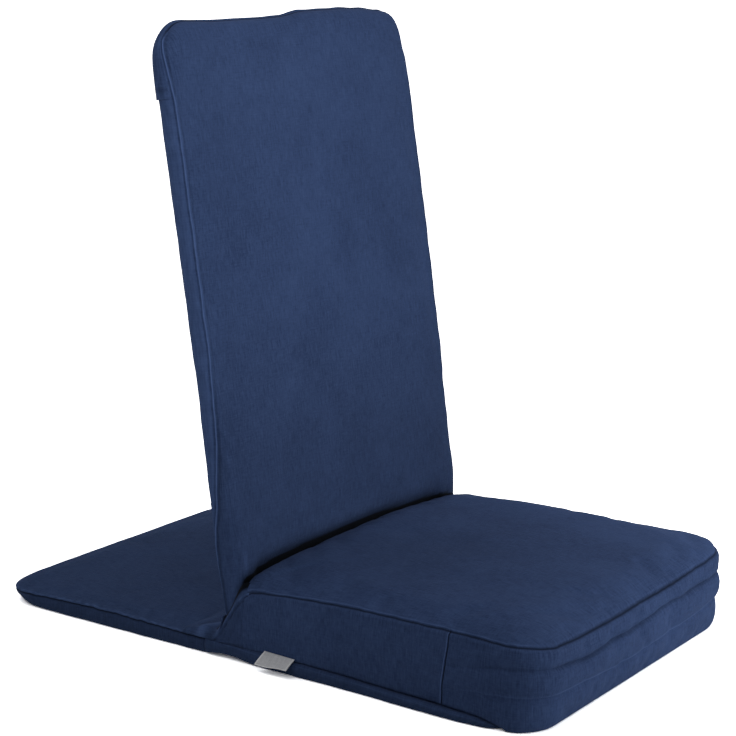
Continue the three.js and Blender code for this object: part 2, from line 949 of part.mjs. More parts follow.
// The back arm runs from its ear up to the spigot in the back frame, drawn in the back's own frame.
function backArm(side) {
  const topZ = backTubeEnd - gap;
  const outline = [
    ...earOutline(hingeDepth, hingeHeight, earRadius, 180, 360),
    [backTubeY + armWidth / 2, topZ - armWidth],
    [backTubeY + armWidth / 2, topZ],
    [backTubeY - armWidth / 2, topZ],
    [backTubeY - armWidth / 2, topZ - armWidth],
  ];
  const x = side * (tubeX + backArmX);
  const spigot = bar(
    "z",
    spigotDiameter,
    spigotLength + armWidth / 2,
    side * tubeX,
    backTubeY,
    topZ + (spigotLength - armWidth / 2) / 2,
  );
  return cut(
    join(acrossWidth(outline, armThickness, x), spigot),
    bar("x", pinDiameter + 2 * pinFit, armThickness * 4, x, hingeDepth, hingeHeight),
    bar("x", rivetHoleDiameter, tubeDiameter * 2, side * tubeX, backTubeY, rivetHeight),
  );
}

// Outline of the serrated lock disc between the two ears
function lockDisc(side) {
  const outer = lockDiscDiameter / 2;
  const shape = new THREE.Shape();
  for (let i = 0; i < 2 * lockTeeth; i++) {
    const angle = (i / lockTeeth) * Math.PI;
    const radius = i % 2 ? outer : outer - lockToothDepth;
    const [y, z] = [radius * Math.cos(angle), radius * Math.sin(angle)];
    if (i) {
      shape.lineTo(y, z);
    } else {
      shape.moveTo(y, z);
    }
  }
  const hole = new THREE.Path().absarc(0, 0, pinDiameter / 2 + pinFit, 0, Math.PI * 2, true);
  shape.holes.push(hole);
  return new THREE.ExtrudeGeometry(shape, {
    depth: lockDiscThickness,
    bevelEnabled: false,
    curveSegments: sides,
  })
    .rotateY(Math.PI / 2)
    .translate(side * tubeX - lockDiscThickness / 2, hingeDepth, hingeHeight);
}

// A pin or rivet along X: a shank with a head at each end.
function headed(x, y, z, diameter, length, headDiameter, headLength) {
  const shift = (length + headLength) / 2;
  return join(
    bar("x", diameter, length + headLength / 2, x, y, z),
    bar("x", headDiameter, headLength, x - shift, y, z),
    bar("x", headDiameter, headLength, x + shift, y, z),
  );
}

const pinLength = 2 * (discGap + armThickness + gap);
const rivetLength = tubeDiameter + 2 * gap;
sidesOfChair.forEach(([name, side]) => {
  const x = side * tubeX;
  const rivetSizes = [rivetDiameter, rivetLength, rivetHeadDiameter, rivetHeadLength];
  const pinSizes = [pinDiameter, pinLength, pinHeadDiameter, pinHeadLength];
  piece(panel, `hinge_panel_arm_${name}`, panelArm(side), "steel");
  piece(back, `hinge_back_arm_${name}`, backArm(side), "steel");
  piece(back, `hinge_lock_disc_${name}`, lockDisc(side), "zinc");
  piece(back, `hinge_pin_${name}`, headed(x, hingeDepth, hingeHeight, ...pinSizes), "zinc");
  piece(back, `back_rivet_${name}`, headed(x, backTubeY, rivetHeight, ...rivetSizes), "zinc");
  piece(panel, `panel_rivet_${name}`, headed(x, panelRivetY, panelTubeZ, ...rivetSizes), "zinc");
});

// Cloth of the joint
const clothFrontY = creaseY + seatGap;
piece(
  seat,
  "joint_cloth_front",
  box(
    [-half + cornerRadius / 2, clothFrontY - cloth / 2, baseThickness + gap],
    [half - cornerRadius / 2, clothFrontY + cloth / 2, backOpeningHeight - archRise],
  ),
  "canvasDark",
);

// Rear cloth: from the lower sleeve over the hinges to the front edge of the panel
const wrapRadius = barDrop + earRadius;
const wrapOutline = [];
const wrapInner = [];
const sleeveY = (depth, height) => backFootY + depth * Math.cos(tilt) + height * Math.sin(tilt);
const sleeveZ = (depth, height) => height * Math.cos(tilt) - depth * Math.sin(tilt);
const wrapDepth = sleeveFront + sleeveThickness / 2;
const wrapStart = [sleeveY(wrapDepth, sleeveBottom), sleeveZ(wrapDepth, sleeveBottom) - gap * 2];
const wrapEnd = [panelFrontY + edgeRadius, panelThickness + gap * 3];
const wrapCorner = [wrapStart[0] + earRadius, wrapEnd[1] + earRadius];
const wrapCurve = new THREE.QuadraticBezierCurve(
  new THREE.Vector2(...wrapStart),
  new THREE.Vector2(...wrapCorner),
  new THREE.Vector2(...wrapEnd),
);
for (let i = 0; i <= arcSteps; i++) {
  const point = wrapCurve.getPoint(i / arcSteps);
  const along = wrapCurve.getTangent(i / arcSteps);
  wrapOutline.push([point.x + (along.y * cloth) / 2, point.y - (along.x * cloth) / 2]);
  wrapInner.push([point.x - (along.y * cloth) / 2, point.y + (along.x * cloth) / 2]);
}
piece(
  panel,
  "joint_cloth_rear",
  acrossWidth([...wrapOutline, ...wrapInner.reverse()], 2 * (tubeX - tubeRadius - 2 * gap)),
  "canvasDark",
);

// Side gussets close the two ends of the joint.
const gussetOutline = [
  [cushionRearFoot + gap, baseThickness + gap],
  [creaseY + baseOverhang - edgeRadius, baseThickness + gap],
  ...gussetEdge.map(([behind, height]) => [creaseY + behind, height]),
];
sidesOfChair.forEach(([name, side]) => {
  piece(
    seat,
    `joint_gusset_${name}`,
    acrossWidth(gussetOutline, cloth, side * (half - cloth / 2)),
    "canvasDark",
  );
});

export default chair;
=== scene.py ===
import math
import bpy
import numpy as np
from mathutils import Matrix, Vector


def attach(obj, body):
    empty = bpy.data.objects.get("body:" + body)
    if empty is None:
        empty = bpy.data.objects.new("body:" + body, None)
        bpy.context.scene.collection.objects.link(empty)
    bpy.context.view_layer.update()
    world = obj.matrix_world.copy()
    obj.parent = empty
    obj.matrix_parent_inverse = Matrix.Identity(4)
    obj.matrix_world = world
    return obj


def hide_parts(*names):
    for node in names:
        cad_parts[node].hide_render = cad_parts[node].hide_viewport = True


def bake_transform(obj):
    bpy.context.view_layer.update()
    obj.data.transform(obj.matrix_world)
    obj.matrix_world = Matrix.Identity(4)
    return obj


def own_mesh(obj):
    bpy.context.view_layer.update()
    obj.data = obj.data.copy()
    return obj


# Folding floor chair in navy canvas: looks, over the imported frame.
# Lengths in the pieces' dictionaries are millimetres.

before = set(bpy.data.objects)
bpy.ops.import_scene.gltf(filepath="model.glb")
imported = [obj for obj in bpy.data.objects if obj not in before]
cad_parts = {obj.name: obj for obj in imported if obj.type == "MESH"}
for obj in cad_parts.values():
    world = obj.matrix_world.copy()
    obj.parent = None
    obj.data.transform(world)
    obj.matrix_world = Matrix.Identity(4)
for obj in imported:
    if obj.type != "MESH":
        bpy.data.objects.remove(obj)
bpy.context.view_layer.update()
scene = bpy.context.scene
mm = 0.001

# Camera, floor and light

cameraView = {
    "place": (-1665.064, -950.334, 686.5),
    "yaw": 0.98718223,  # from +Y towards +X
    "pitch": 0.21603996,  # downwards
    "roll": 0.02223261,
    "lens": 102.652,
}


def placeCamera(view):
    # the camera looks along yaw and pitch, and turns about that line by roll
    yaw, pitch, roll = view["yaw"], view["pitch"], view["roll"]
    ahead = Vector((math.sin(yaw) * math.cos(pitch), math.cos(yaw) * math.cos(pitch), -math.sin(pitch)))
    flat = ahead.cross(Vector((0, 0, 1))).normalized()
    over = flat.cross(ahead)
    right = math.cos(roll) * flat + math.sin(roll) * over
    up = -math.sin(roll) * flat + math.cos(roll) * over
    data = bpy.data.cameras.new("camera")
    data.lens = view["lens"]
    data.sensor_width = 36
    data.sensor_fit = "HORIZONTAL"
    data.clip_end = 50
    camera = bpy.data.objects.new("camera", data)
    turn = Matrix((right, up, -ahead)).transposed().to_4x4()
    camera.matrix_world = Matrix.Translation(Vector(view["place"]) * mm) @ turn
    scene.collection.objects.link(camera)
    scene.camera = camera


placeCamera(cameraView)


def placeLamp(name, light, place, beam):
    # the lamp stands at its place and shines along the beam
    lamp = bpy.data.objects.new(name, light)
    lamp.matrix_world = Matrix.Translation(place) @ beam.to_track_quat("-Z", "Y").to_matrix().to_4x4()
    scene.collection.objects.link(lamp)


# from: azimuth from -Y towards +X and height in degrees; angle is the width of the light in degrees
suns = {
    "frontSun": {"azimuth": 14, "height": 14, "angle": 36, "strength": 0.97},
    "rearSun": {"azimuth": -165, "height": 62, "angle": 50, "strength": 0.82},
    "nearSun": {"azimuth": -60, "height": 45, "angle": 50, "strength": 0.2},
}
for sunName, sun in suns.items():
    light = bpy.data.lights.new(sunName, "SUN")
    light.angle = math.radians(sun["angle"])
    light.energy = sun["strength"]
    turn, high = math.radians(sun["azimuth"]), math.radians(sun["height"])
    place = Vector((math.sin(turn) * math.cos(high), -math.cos(turn) * math.cos(high), math.sin(high)))
    placeLamp(sunName, light, place * 3, -place)

spots = {  # place and aim in metres, cone in degrees, power in watts
    "edgeSpot": {"place": (-2.7, -0.5, 1.05), "aim": (-0.19, 0.26, 0.44), "cone": 18, "power": 92},
    "highSpot": {"place": (0.5, -2.8, 1.3), "aim": (0.0, 0.25, 0.6), "cone": 17, "power": 160},
    "seatSpot": {"place": (1.5, -1.9, 1.5), "aim": (0.17, -0.10, 0.07), "cone": 15, "power": 150},
    "frontSpot": {"place": (0.9, -2.9, 0.16), "aim": (0.02, -0.16, 0.03), "cone": 11, "power": 122},
}
for spotName, spot in spots.items():
    light = bpy.data.lights.new(spotName, "SPOT")
    light.spot_size = math.radians(spot["cone"])
    light.spot_blend = 1.0
    light.shadow_soft_size = 0.25
    light.energy = spot["power"]
    place = Vector(spot["place"])
    placeLamp(spotName, light, place, Vector(spot["aim"]) - place)


def backgroundRays(tree):
    # 1 for the rays that show the background: from the camera, off metal and through glass
    path = tree.nodes.new("ShaderNodeLightPath")
    total = path.outputs["Is Camera Ray"]
    for kind in ("Is Glossy Ray", "Is Transmission Ray"):
        join = tree.nodes.new("ShaderNodeMath")
        join.operation = "MAXIMUM"
        tree.links.new(total, join.inputs[0])
        tree.links.new(path.outputs[kind], join.inputs[1])
        total = join.outputs[0]
    return total


skyStrength = 0.19  # light from all round
world = bpy.data.worlds.new("studio")
scene.world = world
world.use_nodes = True
worldTree = world.node_tree
worldTree.nodes.clear()
skyShade = worldTree.nodes.new("ShaderNodeBackground")
skyShade.inputs["Color"].default_value = (1, 1, 1, 1)
skyShade.inputs["Strength"].default_value = skyStrength
skyWhite = worldTree.nodes.new("ShaderNodeBackground")
skyWhite.inputs["Color"].default_value = (1, 1, 1, 1)
skyMix = worldTree.nodes.new("ShaderNodeMixShader")
skyOut = worldTree.nodes.new("ShaderNodeOutputWorld")
worldTree.links.new(backgroundRays(worldTree), skyMix.inputs[0])
worldTree.links.new(skyShade.outputs[0], skyMix.inputs[1])
worldTree.links.new(skyWhite.outputs[0], skyMix.inputs[2])
worldTree.links.new(skyMix.outputs[0], skyOut.inputs["Surface"])

# what the floor gives back to the chair, how bright the camera finds it, and half its side in metres
floorFinish = {"lit": 0.75, "seen": 3.3, "half": 60}
floorHalf = floorFinish["half"]
floorCorners = [(x * floorHalf, y * floorHalf, 0) for x, y in ((-1, -1), (1, -1), (1, 1), (-1, 1))]
floorData = bpy.data.meshes.new("floor")
floorData.from_pydata(floorCorners, [], [(0, 1, 2, 3)])
floor = bpy.data.objects.new("floor", floorData)
scene.collection.objects.link(floor)
floorMaterial = bpy.data.materials.new("paleFloor")
floorMaterial.use_nodes = True
floorTree = floorMaterial.node_tree
floorTree.nodes.clear()
floorMatt = floorTree.nodes.new("ShaderNodeBsdfDiffuse")
floorTone = floorTree.nodes.new("ShaderNodeMapRange")
floorTone.inputs["To Min"].default_value = floorFinish["lit"]
floorTone.inputs["To Max"].default_value = floorFinish["seen"]
floorOut = floorTree.nodes.new("ShaderNodeOutputMaterial")
floorTree.links.new(backgroundRays(floorTree), floorTone.inputs["Value"])
floorTree.links.new(floorTone.outputs["Result"], floorMatt.inputs["Color"])
floorTree.links.new(floorMatt.outputs[0], floorOut.inputs["Surface"])
floorData.materials.append(floorMaterial)
print("stage: camera, lamps and floor")

# Node groups and materials


def wire(tree, source, target):
    tree.links.new(source, target)


def mathNode(tree, operation, a, b=None, clamp=False):
    node = tree.nodes.new("ShaderNodeMath")
    node.operation = operation
    node.use_clamp = clamp
    for slot, value in enumerate((a, b)):
        if value is None:
            continue
        if isinstance(value, (int, float)):
            node.inputs[slot].default_value = value
        else:
            wire(tree, value, node.inputs[slot])
    return node.outputs[0]


def stretched(tree, vector, scales):
    node = tree.nodes.new("ShaderNodeVectorMath")
    node.operation = "MULTIPLY"
    wire(tree, vector, node.inputs[0])
    node.inputs[1].default_value = scales
    return node.outputs[0]


def noiseNode(tree, vector, scale, detail=2.0, rough=0.5):
    node = tree.nodes.new("ShaderNodeTexNoise")
    node.inputs["Scale"].default_value = scale
    node.inputs["Detail"].default_value = detail
    node.inputs["Roughness"].default_value = rough
    wire(tree, vector, node.inputs["Vector"])
    return node.outputs[0]


def newGroup(name, inputs, outputs):
    group = bpy.data.node_groups.new(name, "ShaderNodeTree")
    for label, kind, value in inputs:
        socket = group.interface.new_socket(label, in_out="INPUT", socket_type=kind)
        if value is not None:
            socket.default_value = value
    for label, kind in outputs:
        group.interface.new_socket(label, in_out="OUTPUT", socket_type=kind)
    return group, group.nodes.new("NodeGroupInput"), group.nodes.new("NodeGroupOutput")


weaveLook = {
    "slubs": (950, 75, 1),  # scale of the slubs across and along a thread
    "patches": 16.0,  # scale of the slow patches and of the flecks
    "flecks": 420.0,
    "patchTone": 0.85,  # how much each of them, and the threads, shade the colour
    "fleckTone": 0.7,
    "threadTone": 0.35,
}


def makeWeaveGroup():
    # plain weave: warp and weft ribs are the sines of the cloth's own coordinates, swapped by a checker;
    # slubs are noise drawn out along each thread; patches are slow noise in object space
    tree, inside, out = newGroup(
        "canvasWeave",
        [
            ("Cloth", "NodeSocketVector", None),
            ("Place", "NodeSocketVector", None),
            ("Threads", "NodeSocketFloat", 1300.0),
            ("Slub", "NodeSocketFloat", 1.0),
        ],
        [("Tone", "NodeSocketFloat"), ("Height", "NodeSocketFloat"), ("Patch", "NodeSocketFloat")],
    )
    split = tree.nodes.new("ShaderNodeSeparateXYZ")
    wire(tree, inside.outputs["Cloth"], split.inputs[0])
    u = mathNode(tree, "MULTIPLY", split.outputs[0], inside.outputs["Threads"])
    v = mathNode(tree, "MULTIPLY", split.outputs[1], inside.outputs["Threads"])
    ribU = mathNode(tree, "ABSOLUTE", mathNode(tree, "SINE", mathNode(tree, "MULTIPLY", u, math.pi)))
    ribV = mathNode(tree, "ABSOLUTE", mathNode(tree, "SINE", mathNode(tree, "MULTIPLY", v, math.pi)))
    parity = mathNode(
        tree,
        "FLOORED_MODULO",
        mathNode(tree, "ADD", mathNode(tree, "FLOOR", u), mathNode(tree, "FLOOR", v)),
        2.0,
    )
    swap = tree.nodes.new("ShaderNodeMix")
    wire(tree, parity, swap.inputs["Factor"])
    wire(tree, ribU, swap.inputs["A"])
    wire(tree, ribV, swap.inputs["B"])
    weave = swap.outputs["Result"]
    across, along, flat = weaveLook["slubs"]
    warpSlub = noiseNode(tree, stretched(tree, inside.outputs["Cloth"], (across, along, flat)), 1.0, 2.0)
    weftSlub = noiseNode(tree, stretched(tree, inside.outputs["Cloth"], (along, across, flat)), 1.0, 2.0)
    slubs = mathNode(
        tree,
        "ADD",
        mathNode(tree, "MULTIPLY", warpSlub, 1.35),
        mathNode(tree, "MULTIPLY", weftSlub, 0.65),
    )
    slubs = mathNode(tree, "SUBTRACT", slubs, 1.0)
    slubs = mathNode(tree, "MULTIPLY", slubs, inside.outputs["Slub"])
    patch = noiseNode(tree, inside.outputs["Place"], weaveLook["patches"], 4.0, 0.6)
    fleck = noiseNode(tree, inside.outputs["Place"], weaveLook["flecks"], 2.0, 0.6)
    tone = slubs
    for field, middle, share in (
        (patch, 0.5, "patchTone"), (fleck, 0.5, "fleckTone"), (weave, 0.6, "threadTone")
    ):
        shade = mathNode(tree, "MULTIPLY", mathNode(tree, "SUBTRACT", field, middle), weaveLook[share])
        tone = mathNode(tree, "ADD", tone, shade)
    height = mathNode(tree, "ADD", weave, mathNode(tree, "MULTIPLY", slubs, 0.8))
    wire(tree, mathNode(tree, "ADD", tone, 0.5, True), out.inputs["Tone"])
    wire(tree, height, out.inputs["Height"])
    wire(tree, patch, out.inputs["Patch"])
    return tree


def makeScratchGroup():
    # metal: fine lines drawn along X, and slow stains
    group, inside, out = newGroup(
        "metalMarks",
        [("Place", "NodeSocketVector", None), ("Grain", "NodeSocketFloat", 1.0)],
        [("Tone", "NodeSocketFloat"), ("Height", "NodeSocketFloat")],
    )
    lines = noiseNode(group, stretched(group, inside.outputs["Place"], (40, 900, 900)), 1.0, 3.0)
    stains = noiseNode(group, inside.outputs["Place"], 60.0, 3.0)
    wire(
        group, mathNode(group, "MULTIPLY", mathNode(group, "ADD", lines, stains), 0.5), out.inputs["Tone"]
    )
    wire(group, mathNode(group, "MULTIPLY", lines, inside.outputs["Grain"]), out.inputs["Height"])
    return group


weaveGroup = makeWeaveGroup()
scratchGroup = makeScratchGroup()


def blankMaterial(name):
    material = bpy.data.materials.new(name)
    material.use_nodes = True
    tree = material.node_tree
    shader = tree.nodes["Principled BSDF"]
    return material, tree, shader


def colourRamp(tree, factor, low, high):
    ramp = tree.nodes.new("ShaderNodeValToRGB")
    ramp.color_ramp.elements[0].color = low
    ramp.color_ramp.elements[1].color = high
    wire(tree, factor, ramp.inputs[0])
    return ramp.outputs["Color"]


def linear(r, g, b):
    # an sRGB colour of 0 to 255 as linear light
    values = [c / 255 for c in (r, g, b)]
    return tuple(c / 12.92 if c <= 0.04045 else ((c + 0.055) / 1.055) ** 2.4 for c in values) + (1.0,)


clothFinish = {
    "canvas": {
        "deep": (38, 52, 83), "pale": (58, 76, 114), "threads": 1300, "slub": 1.0, "rough": 0.88,
        "sheen": 0.02,
    },
    # a slightly darker copy of the canvas: painted shade for the base, rear panel, sleeve, joint cloth and
    # other parts
    "canvasPaintedShade": {
        "deep": (37, 51, 80), "pale": (56, 73, 109), "threads": 1300, "slub": 1.0, "rough": 0.9,
        "sheen": 0.02,
    },
    "tape": {
        "deep": (12, 16, 28), "pale": (22, 28, 44), "threads": 2200, "slub": 0.6, "rough": 0.7,
        "sheen": 0.1,
    },
    "tag": {
        "deep": (168, 169, 173), "pale": (204, 205, 208), "threads": 3000, "slub": 0.8, "rough": 0.55,
        "sheen": 0.2,
    },
}

clothSurface = {
    "specular": 0.03, "sheenRough": 0.5, "sheenTint": (0.6, 0.7, 1.0, 1), "bump": 0.35, "relief": 0.00025
}


def clothMaterial(name, finish, useUv=True):
    # woven colour between deep and pale, lighter for seam wear, print and painted highlights, darker with
    # painted shade in folds, creases and seam grooves
    material, tree, shader = blankMaterial(name)
    place = tree.nodes.new("ShaderNodeTexCoord").outputs["Object"]
    if useUv:
        uv = tree.nodes.new("ShaderNodeUVMap")
        uv.uv_map = "cloth"
        cloth = uv.outputs["UV"]
    else:
        cloth = place
    weave = tree.nodes.new("ShaderNodeGroup")
    weave.node_tree = weaveGroup
    weave.inputs["Threads"].default_value = finish["threads"]
    weave.inputs["Slub"].default_value = finish["slub"]
    wire(tree, cloth, weave.inputs["Cloth"])
    wire(tree, place, weave.inputs["Place"])
    base = colourRamp(tree, weave.outputs["Tone"], linear(*finish["deep"]), linear(*finish["pale"]))
    seam = tree.nodes.new("ShaderNodeAttribute")
    seam.attribute_name = "paintedLightAndMarks"  # 1 for seam wear, print and painted highlight, -1 for painted shade in folds and creases
    paleMarkAndHighlight = tree.nodes.new("ShaderNodeMix")
    paleMarkAndHighlight.data_type = "RGBA"
    wire(tree, mathNode(tree, "MULTIPLY", seam.outputs["Fac"], 0.5, True), paleMarkAndHighlight.inputs["Factor"])
    wire(tree, base, paleMarkAndHighlight.inputs["A"])
    paleMarkAndHighlight.inputs["B"].default_value = linear(*[min(255, c * 1.55 + 12) for c in finish["pale"]])
    # painted shade: towards a near-black of the deep colour where the tone is below 0
    folded = tree.nodes.new("ShaderNodeMix")
    folded.data_type = "RGBA"
    wire(tree, mathNode(tree, "MULTIPLY", seam.outputs["Fac"], -0.75, True), folded.inputs["Factor"])
    wire(tree, paleMarkAndHighlight.outputs["Result"], folded.inputs["A"])
    folded.inputs["B"].default_value = linear(*[c * 0.16 for c in finish["deep"]])
    wire(tree, folded.outputs["Result"], shader.inputs["Base Color"])
    bump = tree.nodes.new("ShaderNodeBump")
    bump.inputs["Strength"].default_value = clothSurface["bump"]
    bump.inputs["Distance"].default_value = clothSurface["relief"]
    wire(tree, weave.outputs["Height"], bump.inputs["Height"])
    wire(tree, bump.outputs[0], shader.inputs["Normal"])
    rough = mathNode(
        tree, "ADD", mathNode(tree, "MULTIPLY", weave.outputs["Patch"], 0.12), finish["rough"] - 0.06
    )
    wire(tree, rough, shader.inputs["Roughness"])
    shader.inputs["Specular IOR Level"].default_value = clothSurface["specular"]
    shader.inputs["Sheen Weight"].default_value = finish["sheen"]
    shader.inputs["Sheen Roughness"].default_value = clothSurface["sheenRough"]
    shader.inputs["Sheen Tint"].default_value = clothSurface["sheenTint"]
    return material


def metalMaterial(name, deep, pale, rough):
    # drawn metal: tone and roughness from the marks
    material, tree, shader = blankMaterial(name)
    place = tree.nodes.new("ShaderNodeTexCoord").outputs["Object"]
    marks = tree.nodes.new("ShaderNodeGroup")
    marks.node_tree = scratchGroup
    wire(tree, place, marks.inputs["Place"])
    wire(
        tree,
        colourRamp(tree, marks.outputs["Tone"], linear(*deep), linear(*pale)),
        shader.inputs["Base Color"],
    )
    wire(
        tree,
        mathNode(tree, "ADD", mathNode(tree, "MULTIPLY", marks.outputs["Tone"], 0.2), rough - 0.1),
        shader.inputs["Roughness"],
    )
    shader.inputs["Metallic"].default_value = 1.0
    bump = tree.nodes.new("ShaderNodeBump")
    bump.inputs["Strength"].default_value = 0.2
    bump.inputs["Distance"].default_value = 0.0001
    wire(tree, marks.outputs["Height"], bump.inputs["Height"])
    wire(tree, bump.outputs[0], shader.inputs["Normal"])
    return material


def foamMaterial(name):
    # open cells as a Voronoi pattern
    material, tree, shader = blankMaterial(name)
    place = tree.nodes.new("ShaderNodeTexCoord").outputs["Object"]
    cells = tree.nodes.new("ShaderNodeTexVoronoi")
    cells.inputs["Scale"].default_value = 700
    wire(tree, place, cells.inputs["Vector"])
    wire(
        tree,
        colourRamp(tree, cells.outputs["Distance"], linear(196, 184, 140), linear(232, 222, 186)),
        shader.inputs["Base Color"],
    )
    bump = tree.nodes.new("ShaderNodeBump")
    bump.inputs["Strength"].default_value = 0.5
    bump.inputs["Distance"].default_value = 0.0005
    wire(tree, cells.outputs["Distance"], bump.inputs["Height"])
    wire(tree, bump.outputs[0], shader.inputs["Normal"])
    shader.inputs["Roughness"].default_value = 0.95
    return material


materials = {name: clothMaterial(name, finish) for name, finish in clothFinish.items()}
materials["innerTape"] = clothMaterial("innerTape", clothFinish["tape"], useUv=False)
materials["steel"] = metalMaterial("steel", (96, 98, 102), (132, 134, 138), 0.42)
materials["zinc"] = metalMaterial("zinc", (150, 152, 156), (190, 192, 196), 0.3)
materials["foam"] = foamMaterial("foam")
print("stage: materials")

# Shape helpers


def ease(value, low, high):
    # 0 below low, 1 above high, and a smooth cubic between them
    share = np.clip((np.asarray(value, float) - low) / (high - low), 0, 1)
    return share * share * (3 - 2 * share)


def ripple(a, b, wavelength, seed, waves=9):
    # a smooth field, mostly between -1 and 1: sine waves in drawn directions, lengths and phases, added up
    # and divided by the square root of their number
    draw = np.random.default_rng(seed)
    angle = draw.uniform(0, np.pi, waves)
    phase = draw.uniform(0, 2 * np.pi, waves)
    pitch = wavelength * draw.uniform(0.6, 1.6, waves)
    field = 0
    for k in range(waves):
        field = (
            field
            + np.sin((a * np.cos(angle[k]) + b * np.sin(angle[k])) * 2 * np.pi / pitch[k] + phase[k])
        )
    return field / math.sqrt(waves)


# about how many millimetres of a rim one unit of g stands for, so that ripples keep their size
rimLength = 330


def roundedOutline(left, right, front, back, radii):
    # g runs 0 to 4 round the plan: front, right, back, left, each from one corner's middle to the next's,
    # evenly by length; radii are of the corners front-left, front-right, back-right, back-left
    spots = [(left, front, 1, 1), (right, front, -1, 1), (right, back, -1, -1), (left, back, 1, -1)]
    starts = [1.25 * np.pi, 1.75 * np.pi, 0.25 * np.pi, 0.75 * np.pi]
    gs, xs, ys = [], [], []
    for side in range(4):
        parts = []
        for step, span in ((side, (0, 0.25 * np.pi)), ((side + 1) % 4, (-0.25 * np.pi, 0))):
            cx = spots[step][0] + spots[step][2] * radii[step]
            cy = spots[step][1] + spots[step][3] * radii[step]
            turn = starts[step] + np.linspace(*span, 9)
            parts.append(np.stack([cx + radii[step] * np.cos(turn), cy + radii[step] * np.sin(turn)], 1))
        line = np.concatenate(parts)
        run = np.concatenate([[0], np.cumsum(np.hypot(*np.diff(line, axis=0).T))])
        gs.append(side + run / run[-1])
        xs.append(line[:, 0])
        ys.append(line[:, 1])
    return np.concatenate(gs), np.concatenate(xs), np.concatenate(ys)


def onOutline(table, g):
    # the point at g, and the outward direction there
    g = np.asarray(g, float)
    at = lambda q: (np.interp(q % 4, table[0], table[1]), np.interp(q % 4, table[0], table[2]))
    x, y = at(g)
    ax, ay = at(g - 0.012)
    bx, by = at(g + 0.012)
    size = np.hypot(bx - ax, by - ay) + 1e-9
    return x, y, (by - ay) / size, (ax - bx) / size


def squarePlace(s, t):
    # where a point of the square lies: g round its edge, and rho, 0 at the middle and 1 at the edge
    rho = np.maximum(np.abs(s), np.abs(t))
    safe = np.where(rho == 0, 1, rho)
    u, v = s / safe, t / safe
    flat = np.abs(t) >= np.abs(s)
    g = np.where(
        flat & (t < 0),
        (u + 1) / 2,
        np.where(~flat & (s > 0), 1 + (v + 1) / 2, np.where(flat, 2 + (1 - u) / 2, 3 + (1 - v) / 2)),
    )
    return g, rho


def closedForm(s, t, h, top, side, bottom, turned=False):
    # a closed pillow form: a grid of squares on top and underneath, joined by rings up the sides.
    # top(g, rho), side(g, h) and bottom(g, rho) each give points and a seam tone, and top may give its cloth
    # coordinates too; h runs 0 to 1 upwards; turned swaps the cloth's two directions on the sides
    n, m, rings = len(s) - 1, len(t) - 1, len(h) - 1
    grid = np.arange((n + 1) * (m + 1)).reshape(n + 1, m + 1)
    ss, tt = np.meshgrid(s, t, indexing="ij")
    g, rho = squarePlace(ss, tt)
    rim = np.concatenate([grid[:-1, 0], grid[-1, :-1], grid[:0:-1, -1], grid[0, :0:-1]])
    gRim = g.ravel()[rim]
    gRim = np.where((gRim == 0) & (np.arange(len(rim)) > n), 4.0, gRim)
    count = len(rim)
    gSide, hSide = np.meshgrid(gRim, h[1:-1])
    parts = [top(g, rho), bottom(g, rho), side(gSide, hSide)]
    points = np.concatenate([p[0].reshape(-1, 3) for p in parts])
    tone = np.concatenate([np.broadcast_to(p[1], p[0].shape[:-1]).ravel() for p in parts])
    size = (n + 1) * (m + 1)
    rows = np.concatenate(
        [[size + rim], 2 * size + np.arange((rings - 1) * count).reshape(-1, count), [rim]]
    )
    a, b, c, d = (
        grid[:-1, :-1].ravel(), grid[1:, :-1].ravel(), grid[1:, 1:].ravel(), grid[:-1, 1:].ravel()
    )
    topFaces = np.stack([a, b, c, d], 1)
    low, high = rows[:-1], rows[1:]
    sideFaces = np.stack([low, np.roll(low, -1, 1), np.roll(high, -1, 1), high], 2).reshape(-1, 4)
    faces = np.concatenate([topFaces, (topFaces + size)[:, ::-1], sideFaces])
    # cloth coordinates in metres: flat on top and underneath, along and up the sides
    topUv = (parts[0][2].reshape(-1, 2) if len(parts[0]) > 2 else points[:, :2])[topFaces]
    lowUv = points[(topFaces + size)[:, ::-1]][:, :, :2]
    ring = points[rim]
    along = np.concatenate([[0], np.cumsum(np.linalg.norm(np.roll(ring, -1, 0) - ring, axis=1))])
    lift = np.concatenate([[0], np.cumsum(np.linalg.norm(np.diff(points[rows[:, 0]], axis=0), axis=1))])
    u0, v0 = np.meshgrid(along[:-1], lift[:-1])
    u1, v1 = np.meshgrid(along[1:], lift[1:])
    sideUv = np.stack(
        [np.stack([u0, v0], 2), np.stack([u1, v0], 2), np.stack([u1, v1], 2), np.stack([u0, v1], 2)], 2
    ).reshape(-1, 4, 2)
    if turned:
        sideUv = sideUv[..., ::-1]
    return points, faces, np.concatenate([topUv, lowUv, sideUv]), tone


